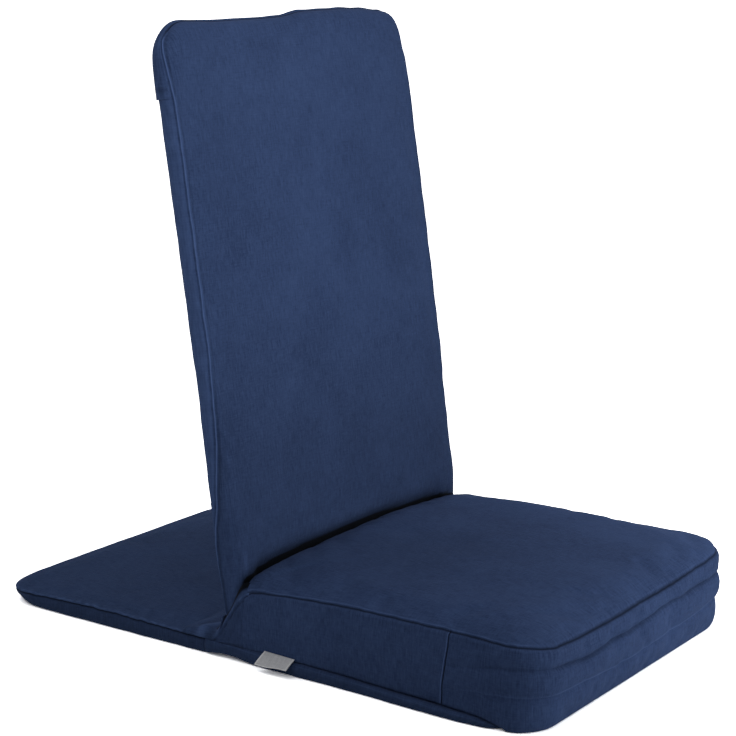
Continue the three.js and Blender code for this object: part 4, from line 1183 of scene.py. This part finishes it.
def backFace(g, rho, front, plain=False):
    # from the seam the front face first runs forwards along the side, then round a quarter of an ellipse,
    # then across as one low dome; run is the length of cloth from the seam, inset the distance in from the
    # leaf's outline; the rear face is one low dome
    edge = backSide(g, np.full_like(g, 1.0 if front else 0.0), plain)[0]
    x, z, nx, nz = onOutline(backPlan, g)
    middle = backShape["middle"]
    reach = edge[..., 0] * nx + (edge[..., 2] - middle) * nz
    inset = (1 - rho) * reach
    tone = np.zeros_like(rho)
    if front:
        atTop = np.interp(z, *backShape["pull"])
        pressed = lowSqueeze(x, edge[..., 2])
        depth = edge[..., 1] - pressed
        lowSide = np.abs(nx) * (1 - ease(z, 300, 480))
        around = depth * (1 - lowSide) + np.minimum(depth, 9.0) * lowSide
        across = 3.5 + 0.9 * atTop + 6.0 * lowSide * np.clip(depth / 9, 0, 1)
        straight = depth - around
        arc = np.pi / 4 * (around + across)
        run = inset + (straight + arc - across) * np.clip(inset / 4, 0, 1)
        turn = np.clip((run - straight) / arc, 0, 1) * np.pi / 2
        inset = across * (1 - np.cos(turn)) + np.maximum(run - straight - arc, 0)
        slack = straight + arc - across - (run - inset)
        y = pressed + depth - np.minimum(run, straight) - around * np.sin(turn)
        rho = 1 - inset / reach
    px = edge[..., 0] * rho
    pz = middle + (edge[..., 2] - middle) * rho
    if front:
        rise = np.sin(turn)
        y = y - 0.7 * rise - backShape["loft"] * np.clip(1 - rho ** 5, 0, 1) * ease(pz, 70, 130)
        y = y + rise * (lowSqueeze(px, pz) - pressed)
        cloth = np.stack([px + nx * slack * lowSide, pz], -1)
    else:
        rise = np.clip(1 - rho ** 9, 0, 1) ** 0.6
        y = edge[..., 1] - footSwell(x, z) + footSwell(px, pz) + 0.8 * rise
    if not plain:
        sign = -1 if front else 1
        y = y + sign * 0.35 * ripple(px, pz, 150, 33) * rise + sign * 0.16 * ripple(px, pz, 36, 34) * rise
        y = y + sign * 0.25 * ripple(g * rimLength, rho * 30, 20, 35) * np.exp(-((inset - 6) / 6) ** 2)
        if front:
            seamed = 1 - ease(nz, 0.5, 0.9)
            # a painted highlight on the seam's ridge and painted shade in its groove, but not along the top
            tone = (
                seamed
                * (0.28 * np.exp(-((run - 0.4) / 0.7) ** 2) - 0.2 * np.exp(-((run - 2.2) / 0.9) ** 2))
            )
            # painted shade over the line where the cushion touches, below it, and broadly over the lower
            # back
            over = (
                pz
                - np.interp(px, *backShape["contact"])
                + 6.5
                - 2.0 * ease(px, -178, -110)
                + 1.5 * ease(px, 0, 120)
            )
            facing = ease(turn, 0.9, 1.45)
            tone = (
                tone
                - 0.4 * (1 - ease(over, 40, 270))
                - facing * (
                    0.35 * np.exp(-((over - 3) / 9) ** 2)
                    + 1.4 * (1 - ease(over, 0.5, 5.5)) * ease(pz, 58, 66)
                )
            )
            # a short painted highlight on the seam at x = -177, just above where the cushion touches
            tone = (
                tone
                + 0.35 * np.exp(-((px + 177) / 1.2) ** 2) * ease(over, 2, 8) * (1 - ease(over, 20, 40))
            )
            # painted light on the strip that runs rearwards along the low sides
            folded = np.abs(nx) * np.clip(straight / 4, 0, 1)
            tone = tone + 0.4 * folded * (1 - ease(turn, 0.2, 1.3)) * ease(run, 2.0, 5.0)
            y = (
                y
                - seamed * (
                    0.3 * np.exp(-((inset - 0.8) / 0.8) ** 2) - 0.3 * np.exp(-((inset - 2.8) / 1.1) ** 2)
                )
            )
    points = np.stack([px, y, pz], -1)
    return (points, tone, cloth) if front else (points, tone)


def leantForm(form):
    return (leant(form[0]), form[1], form[2], form[3])


def orderedBack(plain, grid):
    # the back as a closed form, with depth and height put back in their places
    front = lambda g, rho: backFlip(backFace(g, rho, True, plain))
    side = lambda g, h: backFlip(backSide(g, h, plain))
    rear = lambda g, rho: backFlip(backFace(g, rho, False, plain))
    form = closedForm(*grid, front, side, rear, turned=True)
    return form[0][:, [0, 2, 1]], form[1], form[2], form[3]


def backFlip(result):
    # closedForm works in plan and height: the back's plan is x and z, its height y
    return (result[0][..., [0, 2, 1]],) + tuple(result[1:])


rimRun = (0, 0.4, 0.8, 1.2, 1.6, 2.0, 2.4, 2.8, 3.2, 3.6, 4.0, 5.0, 6.5)
rimStopsAt = lambda reach: tuple((side, tuple(-side * v / reach for v in rimRun)) for side in (-1, 1))
backGrid = (
    evenly(104, *rimStopsAt(190)),
    evenly(150, *rimStopsAt(275)),
    np.concatenate([np.linspace(0, 0.8, 14), [0.83, 0.86, 0.885, 0.905, 0.925, 0.945, 0.965, 0.985, 1]]),
)
backCover = addPiece("backCover", leantForm(orderedBack(False, backGrid)), "canvas")
cage = orderedBack(True, (evenly(34), evenly(48), np.linspace(0, 1, 4)))
reach = np.maximum(np.abs(cage[0][:, 0]) / 188, np.abs(cage[0][:, 2] - 316) / 276)
held = np.where((reach > 0.93) | (cage[0][:, 2] < 110), 1.0, 0.0)
cagePoints = leant(cage[0])
cageMoved = puffed(cagePoints, cage[1], held, backShape["press"])
followCage(backCover, cagePoints, cageMoved, cage[1])
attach(backCover, "back")
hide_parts("back_cover")
# against the seat
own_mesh(backCover)
print("stage: back cover")

foam = {"plan": (-182.0, 188.5, 96.0, 585.0), "radii": (4, 4, 30, 16), "behind": 2.8, "thick": 6.0}


def foamBack():
    # a sheet of even thickness just behind the cover's front, rolled over with it at the top
    plan = roundedOutline(*foam["plan"], foam["radii"])

    def layer(g, rho, share):
        x, z = onOutline(plan, g)[:2]
        px, pz = x * rho, backShape["middle"] + (z - backShape["middle"]) * rho
        depth = foam["behind"] + backFront(pz, 0) * 0.9 + lowSqueeze(px, pz)
        return np.stack([px, pz + backWave(px, pz), depth + foam["thick"] * share], -1), 0 * px

    front = lambda g, rho: layer(g, rho, 0)
    side = lambda g, h: layer(g, 1, 1 - h)
    rear = lambda g, rho: layer(g, rho, 1)
    form = closedForm(evenly(24), evenly(60), np.array([0, 0.5, 1]), front, side, rear)
    return form[0][:, [0, 2, 1]], form[1], form[2], form[3]


backFoam = addPiece("backFoam", leantForm(foamBack()), "foam", "back")
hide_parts("back_foam_pad")
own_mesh(backFoam)

# the front panel's cloth comes over the top and down the rear as a pocket, with a hem
hood = {"hem": 524.0, "hemHeight": 9.0, "thick": 0.9, "slack": 1.3}


def hoodForm():
    # the cover's own rear and sides above the hem, with h in place of the tone; it lies tight at the top
    # and loose at the hem
    sides = lambda g, h: backFlip((backSide(g, h, True)[0], h))
    rear = lambda g, rho: backFlip((backFace(g, rho, False, True)[0], 0 * g))
    front = lambda g, rho: backFlip((backFace(g, rho, True, True)[0], 0 * g + 1))
    columns, rows = 104, 150
    form = closedForm(
        evenly(columns), evenly(rows), np.linspace(0, 1, 16), front, sides, rear, turned=True
    )
    points, faces, uv, h = form[0][:, [0, 2, 1]], form[1], form[2], form[3]
    quads = points[faces]
    keep = (quads[:, :, 2].mean(1) > hood["hem"]) & (h[faces].mean(1) < 0.9)
    keep[: columns * rows] = False  # the front panel's own faces
    normal = np.zeros_like(points)
    faceNormal = np.cross(quads[:, 1] - quads[:, 0], quads[:, 2] - quads[:, 0])
    for corner in range(4):
        np.add.at(normal, faces[:, corner], faceNormal)
    normal = normal / (np.linalg.norm(normal, axis=1, keepdims=True) + 1e-12)
    inside = np.array([0, 10.7, backShape["middle"]])
    outward = np.sign(np.einsum("ij,ij->i", normal, points - inside)).mean()
    normal = normal * (1 if outward >= 0 else -1)
    # the lowest rows lie on the hem's line, which waves a little
    lowest = points[:, 2] < hood["hem"] + 2.5
    points[:, 2] = np.where(
        lowest & (points[:, 2] > hood["hem"] - 6),
        hood["hem"] + 0.6 * ripple(points[:, 0], points[:, 1], 60, 42),
        points[:, 2],
    )
    flush = 1 - ease(h, 0.55, 0.92)
    loose = (
        flush
        * (
            0.3
            + hood["slack"] * (1 - ease(points[:, 2], hood["hem"], 570))
            + 0.35 * ripple(points[:, 0], points[:, 2], 40, 41)
        )
    )
    loose = loose - (hood["thick"] + 0.4) * (1 - flush)
    return points, faces[keep], uv[keep], normal, loose


def shellForm(points, faces, uv, normal, loose, thick):
    # the kept faces twice, at loose and loose + thick along the normals, joined round every open edge
    used, index = np.unique(faces, return_inverse=True)
    faces = index.reshape(faces.shape)
    points, normal, loose = points[used], normal[used], loose[used]
    outer = points + normal * (loose + thick)[:, None]
    inner = points + normal * loose[:, None]
    count = len(used)
    edges = np.concatenate([faces[:, [k, (k + 1) % 4]] for k in range(4)])
    code = edges[:, 0] * count + edges[:, 1]
    reverse = edges[:, 1] * count + edges[:, 0]
    openEdges = edges[~np.isin(code, reverse)]
    rim = np.stack(
        [openEdges[:, 1], openEdges[:, 0], openEdges[:, 0] + count, openEdges[:, 1] + count], 1
    )
    bothFaces = np.concatenate([faces, (faces + count)[:, ::-1], rim])
    bothUv = np.concatenate([uv, uv[:, ::-1], np.zeros((len(rim), 4, 2))])
    return np.concatenate([outer, inner]), bothFaces, bothUv


hoodPoints, hoodFaces, hoodUv = shellForm(*hoodForm(), hood["thick"])
hemGap = hoodPoints[:, 2] - hood["hem"]
hoodTone = (
    0.5 * np.exp(-((hemGap - 1.0) / 1.4) ** 2) - 0.45 * np.exp(-((hemGap - hood["hemHeight"]) / 1.2) ** 2)
)
backHood = addPiece("backHood", (leant(hoodPoints), hoodFaces, hoodUv, hoodTone), "canvas", "back")
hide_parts("back_hood", "hood_hem")
print("stage: back hood")

# Lower sleeve on the rear of the back

sleeve = {"top": 154.0, "foot": 44.0, "halfWidth": 187.0, "thick": 1.8, "off": 2.0, "bulge": 1.4}


def sleevePoints():
    # a grid a little off the rear face, with a low dome of the distance from the middle
    a = np.linspace(-1, 1, 110)
    b = np.linspace(0, 1, 46)
    aa, bb = np.meshgrid(a, b, indexing="ij")
    x = aa * sleeve["halfWidth"] * (1 - 0.012 * (1 - bb) ** 2)
    z = sleeve["foot"] + (sleeve["top"] - sleeve["foot"]) * bb + 0.5 * ripple(x, bb * 0, 90, 51) * bb
    y = (
        backShape["thick"]
        + sleeve["off"]
        + 0.4 * footSwell(x, z)
        + sleeve["bulge"] * (1 - aa ** 4) * ease(z, 60, 140)
        + 0.35 * ripple(x, z, 45, 52)
        - 0.7 * np.abs(aa) ** 30
    )
    edge = np.minimum((1 - np.abs(aa)) * sleeve["halfWidth"], (1 - bb) * (sleeve["top"] - sleeve["foot"]))
    tone = 0.35 * np.exp(-((edge - 0.8) / 1.1) ** 2) - 0.35 * np.exp(-((edge - 7) / 1.1) ** 2)
    return np.stack([x, y, z], -1), tone


sleeveGrid, sleeveTone = sleevePoints()
lowerSleeve = addPiece(
    "backLowerSleeve", sheetForm(leant(sleeveGrid), sleeveTone, sleeve["thick"]), "canvasPaintedShade", "back"
)
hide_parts("back_lower_sleeve")
print("stage: lower sleeve")

# Rear floor panel

panel = {
    "plan": (-189.5, 189.5, 200.8, 455.5),
    "radii": (2.0, 2.0, 26.0, 30.0),
    "top": ([200, 225, 310, 400, 456], [16.0, 16.0, 17.4, 17.8, 17.6]),
    "tip": 3.2,  # how far the rear corners thin
    "foot": ([200, 330, 380, 430, 456], [0.4, 0.4, 0.8, 1.6, 2.2]),
    "crown": 2.6,
    "swell": 0.8,
    "tuck": (1.2, 5.0),  # how far the foot is drawn in, and how much further at the near rear corner
    "folds": 1.0,  # height of the slanting folds
    "middle": 328.0,  # the y that both faces shrink towards
    "pressed": 0.87,
    "press": {"pressure": 1.8, "stiff": 26.0, "bend": 1.6, "spare": 0.005, "cap": 1.8},
}
panelPlan = roundedOutline(*panel["plan"], panel["radii"])


def panelTop(x, y):
    # a table of y, less a dip at the rear corners
    return np.interp(y, *panel["top"]) - panel["tip"] * ease(np.abs(x), 130, 188) * ease(y, 330, 452)


def panelSide(g, h, plain=False):
    # the plan's outline from foot to top, rounded by a half sine of h and tucked in below
    x, y, nx, ny = onOutline(panelPlan, g)
    low = np.interp(y, *panel["foot"]) + 3.6 * ease(-x, 166, 190) * ease(y, 418, 454)
    high = panelTop(x, y)
    z = low + (high - low) * h
    corner = ease(-x, 150, 184) * ease(y, 405, 448)
    tuck = panel["tuck"][0] + panel["tuck"][1] * corner
    offset = panel["swell"] * np.sin(np.pi * h) ** 0.6 - tuck * (1 - h) ** 2.4
    tone = np.zeros_like(z)
    if not plain:
        below = high - z
        offset = (
            offset + 0.5 * np.exp(-((below - 0.4) / 0.7) ** 2) - 1.2 * np.exp(-((below - 1.9) / 0.8) ** 2)
        )
        # a pale line at the top edge, painted shade in the seam's groove below it, and a little darker down
        # the side
        tone = (
            0.3 * np.exp(-((below - 0.3) / 0.6) ** 2)
            - 1.1 * np.exp(-((below - 1.9) / 0.7) ** 2)
            - 0.3 * ease(below, 1.5, 3.5)
        )
        offset = offset + 0.3 * ripple(g * rimLength, z * 2, 50, 61)
        z = z + 0.4 * ripple(g * rimLength, z * 0.2, 13, 65) * h * ease(np.abs(nx), 0.6, 0.95)
    offset = offset * (1 - ease(-ny, 0.7, 0.95))
    return np.stack([x + nx * offset, y + ny * offset, z], -1), tone


def panelFace(g, rho, top, plain=False):
    # the side's edge shrunk by rho, with a low crown on top; the underside is flat but for its rim
    edge = panelSide(g, np.full_like(g, 1.0 if top else 0.0), plain)[0]
    px = edge[..., 0] * rho
    py = panel["middle"] + (edge[..., 1] - panel["middle"]) * rho
    rise = np.clip(1 - rho ** 7, 0, 1) ** 0.65
    if not top:
        lifted = rho ** 60  # only the very edge is lifted, so that nothing inside comes through
        return (
            np.stack([px, py, edge[..., 2] * lifted + (1 - lifted) * panel["foot"][1][0]], -1),
            np.zeros_like(rho),
        )
    z = edge[..., 2] * rho ** 6 + (1 - rho ** 6) * panelTop(px, py) + panel["crown"] * rise
    tone = np.zeros_like(rho)
    if not plain:
        inset = np.hypot(edge[..., 0] - px, edge[..., 1] - py)
        z = z + 0.4 * ripple(px, py, 110, 62) * rise + 0.13 * ripple(px, py, 34, 63) * rise
        # slanting folds where the cloth rises to the joint
        nearJoint = 1 - ease(py, 205, 262)
        endFold = 1 + 0.8 * ease(np.abs(px), 120, 180)
        slant = (py + 0.75 * np.abs(px)) / 7.5 + 0.8 * ripple(px, py, 90, 64)
        z = z + panel["folds"] * endFold * nearJoint * rise * np.sin(slant)
        onEnd = ease(np.abs(onOutline(panelPlan, g)[2]), 0.6, 0.95)
        z = z + 0.4 * onEnd * ripple(g * rimLength, 0 * g, 13, 65) * np.exp(-(inset / 5) ** 2)
        # paler in a patchy band just inside the top's rim
        rimUnevenness = 0.6 + 0.5 * ripple(px, py, 9, 66)
        tone = 0.45 * rimUnevenness * np.exp(-((inset - 1.2) / 1.6) ** 2)
    return np.stack([px, py, z], -1), tone


panelGrid = (
    evenly(96, *rimStops(190)),
    evenly(80),
    np.concatenate([np.linspace(0, 0.62, 9), np.linspace(0.68, 1, 11)]),
)


def makePanel(plain, grid):
    # the panel as a closed form
    top = lambda g, rho: panelFace(g, rho, True, plain)
    side = lambda g, h: panelSide(g, h, plain)
    under = lambda g, rho: panelFace(g, rho, False, plain)
    return closedForm(*grid, top, side, under)


panelCover = addPiece("panelCover", makePanel(False, panelGrid), "canvasPaintedShade")
cage = makePanel(True, (evenly(38), evenly(28), np.linspace(0, 1, 4)))
reach = np.maximum(np.abs(cage[0][:, 0]) / 189.5, np.abs(cage[0][:, 1] - panel["middle"]) / 127)
held = np.where((reach > 0.93) | (cage[0][:, 2] < 8), 1.0, 0.0)
cageMoved = puffed(cage[0], cage[1], held, panel["press"])
followCage(panelCover, cage[0], cageMoved, cage[1])
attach(panelCover, "panel")
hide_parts("panel_cover")
# against the back
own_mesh(panelCover)
print("stage: rear panel")

# Cloth of the joint

gusset = {
    # y and z of the seam that dives from the cushion's top seam to the joint, of the line where the cloth
    # meets the back, and of the foot
    "seam": [
        (150, 68.2), (153.6, 66.6), (156.5, 63.8), (160, 60.2), (164, 54.9), (168.8, 47.1),
        (174.6, 37.9), (178.6, 31.4), (182.2, 26.0), (184.6, 21.4), (186, 17.5),
    ],
    "meet": [
        (150, 75.0), (155.0, 77.0), (158.4, 75.4), (161.6, 71.0), (164.8, 64.8), (169, 55.8),
        (175, 44.6), (179.2, 39.0), (182.8, 33.6), (186, 28.6), (189, 24.0),
    ],
    "foot": [
        (150, 14.0), (153, 14.1), (156, 14.2), (159, 14.3), (163, 14.4), (168, 14.6), (174, 14.7),
        (178, 14.8), (181.5, 14.9), (184, 15.0), (186, 15.2),
    ],
    "thick": 1.2,
    "out": 190.4,  # how far from the middle it stands
    "seamAt": 0.72,  # share of its height at which the seam runs
    "roll": 4.6,  # how far its top rolls inwards, to the back
}


def gussetGrid(side):
    # a runs from the cushion back to the joint, b from the foot up over the seam to the line at the back;
    # straight between the three lines, with a half sine outwards and a roll inwards at the top
    a = np.linspace(0, 1, 60)
    stops = np.linspace(0, 1, len(gusset["seam"]))
    smooth = lambda line: np.stack([np.interp(a, stops, [p[k] for p in line]) for k in range(2)], 1)
    foot, seam, meet = (smooth(gusset[k]) for k in ("foot", "seam", "meet"))
    b = np.concatenate([np.linspace(0, 0.66, 22), np.linspace(0.68, 0.76, 13), np.linspace(0.78, 1, 14)])
    seamAt = gusset["seamAt"]
    low = np.clip(b / seamAt, 0, 1)[None, :, None]
    high = np.clip((b - seamAt) / (1 - seamAt), 0, 1)[None, :, None]
    yz = foot[:, None] + (seam - foot)[:, None] * low + (meet - seam)[:, None] * high
    aa, bb = np.meshgrid(a, b, indexing="ij")
    fromSeam = (bb - seamAt) * np.linalg.norm(seam - foot, axis=1)[:, None] / seamAt
    roll = np.clip((bb - 0.6) / 0.4, 0, 1)
    bulge = 1.4 * np.sin(np.pi * np.clip(bb / 0.8, 0, 1)) * (1 - ease(aa, 0.3, 1))
    x = gusset["out"] + bulge - gusset["roll"] * roll ** 2.2 - 3.4 * (1 - ease(aa, 0, 0.22))
    fade = 1 - 0.7 * ease(aa, 0.55, 0.75)
    x = (
        x
        + fade * 0.6 * np.exp(-(fromSeam / 1.7) ** 2)
        - fade * 0.8 * np.exp(-((fromSeam + 4.5) / 2.2) ** 2)
    )
    x = x + 0.5 * np.sin(aa * 40 + 2 * np.sin(aa * 11)) * np.exp(-((fromSeam + 4) / 7) ** 2)
    x = x + 0.3 * ripple(yz[..., 0], yz[..., 1], 26, 71) - 1.0 * np.exp(-(bb / 0.04) ** 2)
    # a painted highlight along the seam, painted shade in the groove below it and at the foot, a little
    # towards the joint, and deepest along the top, where the cloth meets the back
    tone = (
        fade * 0.3 * (1 + 0.5 * np.sin(aa * 31)) * np.exp(-(fromSeam / 1.2) ** 2)
        - fade * 0.4 * np.exp(-((fromSeam + 4.5) / 1.6) ** 2)
        - 0.4 * np.exp(-(bb / 0.04) ** 2)
        - 0.2 * ease(aa, 0, 0.4)
        - 1.6 * ease(bb, 0.8, 0.93)
    )
    return np.stack([side * x, yz[..., 0], yz[..., 1]], -1), tone


for sideName, side in (("Left", -1), ("Right", 1)):
    grid, tone = gussetGrid(side)
    gussetPiece = addPiece("jointGusset" + sideName, sheetForm(grid, tone, gusset["thick"]), "canvas")
    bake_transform(gussetPiece)
    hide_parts("joint_gusset_" + sideName.lower())

rearCloth = {
    "start": (22.6, 46.0),  # depth and height on the back's leaf
    "route": [(179.0, 17.0), (205.0, 27.0), (226.0, 19.0)],  # y, z
    "thick": 1.2,
    "flat": 0.972,  # share of the half width before the ends roll down
    "halfWidth": 183.6,
    "rollOut": 7.2,
    "rollFoot": 15.4,
}


def rearClothGrid():
    # a cubic curve from the sleeve's foot over the hinges to the panel's front edge, carried across the
    # chair, with slanting folds
    endShare = 1 - rearCloth["flat"]
    rolled = 1 - endShare * np.linspace(0, 1, 12)
    a = np.concatenate([-rolled, np.linspace(-0.97, 0.97, 150), rolled[::-1]])
    b = np.linspace(0, 1, 40)
    aa, bb = np.meshgrid(a, b, indexing="ij")
    start = leant([[0.0, rearCloth["start"][0], rearCloth["start"][1]]])[0]
    stops = [(start[1], start[2])] + rearCloth["route"]
    share = [(1 - bb) ** 3, 3 * bb * (1 - bb) ** 2, 3 * bb ** 2 * (1 - bb), bb ** 3]
    y, z = (sum(w * stop[k] for w, stop in zip(share, stops)) for k in range(2))
    # the ends roll down over the hinge arms to the side of the base
    turn = np.clip((np.abs(aa) - rearCloth["flat"]) / endShare, 0, 1) * np.pi / 2
    nearEnd = ease(np.abs(aa), 0.78, 0.95)
    slant = np.cos((y - 93.5 * np.abs(aa) - 137.6) / 4.07)
    raised = np.where(slant > 0, slant, 0.35 * slant)
    fold = np.sin(np.pi * bb) * ((0.7 + 1.6 * nearEnd) * raised + 0.6 * ripple(aa * 186, bb * 60, 34, 81))
    fold = fold * np.cos(turn)
    y = y + 3.0 * nearEnd * (1 - bb) ** 2 + 0.5 * fold
    z = z + 0.8 * fold
    low = z - 1.5 + (rearCloth["rollFoot"] - z + 1.5) * ease(bb, 0.12, 0.42)
    z = z - (z - low) * (1 - np.cos(turn))
    flatShare = np.minimum(np.abs(aa), rearCloth["flat"]) / rearCloth["flat"]
    x = np.sign(aa) * (flatShare * rearCloth["halfWidth"] + rearCloth["rollOut"] * np.sin(turn))
    # a pale line at the upper end, painted shade along the lower end, and painted highlight and shade on the
    # folds' crests and hollows near the ends
    tone = (
        0.25 * np.exp(-((bb - 0.03) / 0.02) ** 2)
        - 0.4 * np.exp(-((bb - 0.97) / 0.03) ** 2)
        + 0.4 * nearEnd * slant * np.sin(np.pi * bb)
    )
    return np.stack([x, y, z], -1), tone


clothGrid, clothTone = rearClothGrid()
rearClothPiece = addPiece(
    "jointClothRear", sheetForm(clothGrid, clothTone, rearCloth["thick"]), "canvasPaintedShade"
)
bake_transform(rearClothPiece)
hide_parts("joint_cloth_rear")


def frontClothGrid():
    # a nearly flat strip between the cushion's rear and the back's foot, out of sight
    a = np.linspace(-1, 1, 60)
    b = np.linspace(0, 1, 16)
    aa, bb = np.meshgrid(a, b, indexing="ij")
    return (
        np.stack(
            [
                aa * 171,
                158.3 + 0.9 * np.sin(np.pi * bb) * 0.3,
                15.5 + 44 * bb + 0.2 * ripple(aa * 171, bb * 40, 60, 91),
            ],
            -1,
        ),
        np.zeros_like(aa),
    )


frontGrid, frontTone = frontClothGrid()
frontClothPiece = addPiece("jointClothFront", sheetForm(frontGrid, frontTone, 1.0), "canvasPaintedShade")
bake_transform(frontClothPiece)
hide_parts("joint_cloth_front")
print("stage: joint cloth")

# Side tag, left plain

tag = {
    "top": ((-190.0, 96.8, 16.4), (-190.0, 130.3, 17.4)),
    "low": ((-200.2, 99.0, 8.0), (-200.2, 134.8, 6.4)),
    "thick": 0.9,
}


def tagGrid():
    # a folded strip hanging out of the low seam: straight between its corners, with a small curl
    a = np.linspace(0, 1, 34)[:, None, None]
    b = np.linspace(0, 1, 22)[None, :, None]
    top, low = (np.array(tag[k][0]) * (1 - a) + np.array(tag[k][1]) * a for k in ("top", "low"))
    points = top * (1 - b) + low * b
    points[..., 0] -= (0.9 * np.sin(np.pi * b) + 0.7 * np.sin(np.pi * a) * b)[..., 0]
    points[..., 2] += (0.5 * np.sin(2 * np.pi * a) * b)[..., 0]
    return points


tagPoints = tagGrid()
tagAlong, tagDown = np.linspace(0, 1, 34)[:, None], np.linspace(0, 1, 22)[None]
tagEdge = np.minimum(np.minimum(tagAlong * 30, (1 - tagAlong) * 30), (1 - tagDown) * 18)
tagTone = 0.9 * np.exp(-(tagEdge / 1.3) ** 4) + 0 * tagPoints[..., 0]
sideTag = addPiece("sideTag", sheetForm(tagPoints, tagTone, tag["thick"]), "tag", "seat")
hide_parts("side_tag")
print("stage: side tag")

# Stitching

threads = {"pitch": 3.4, "length": 2.5, "radius": 0.22}
hemLine = np.linspace(-176, 176, 160)
hemPath = leant(
    np.stack(
        [
            hemLine,
            np.full(160, backShape["thick"] + 4.6),
            np.full(160, hood["hem"] + hood["hemHeight"] - 1.5),
        ],
        1,
    )
)
stitchRow("hoodHemStitch", hemPath, threads, "canvas", "back")
print("stage: stitching")

# Finishes of the parts that stay as they are

nodeFinish = {
    "foam": "foam", "tube": "steel", "arm": "steel", "pin": "zinc", "disc": "zinc", "rivet": "zinc",
    "slider": "zinc", "zip_tape": "innerTape", "zip_coil": "innerTape",
}
for nodeName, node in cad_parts.items():
    chosen = next((finish for word, finish in nodeFinish.items() if word in nodeName), "canvasPaintedShade")
    node.data.materials.clear()
    node.data.materials.append(materials[chosen])

scene.view_settings.view_transform = "Standard"
bpy.context.view_layer.update()
print("stage: done")
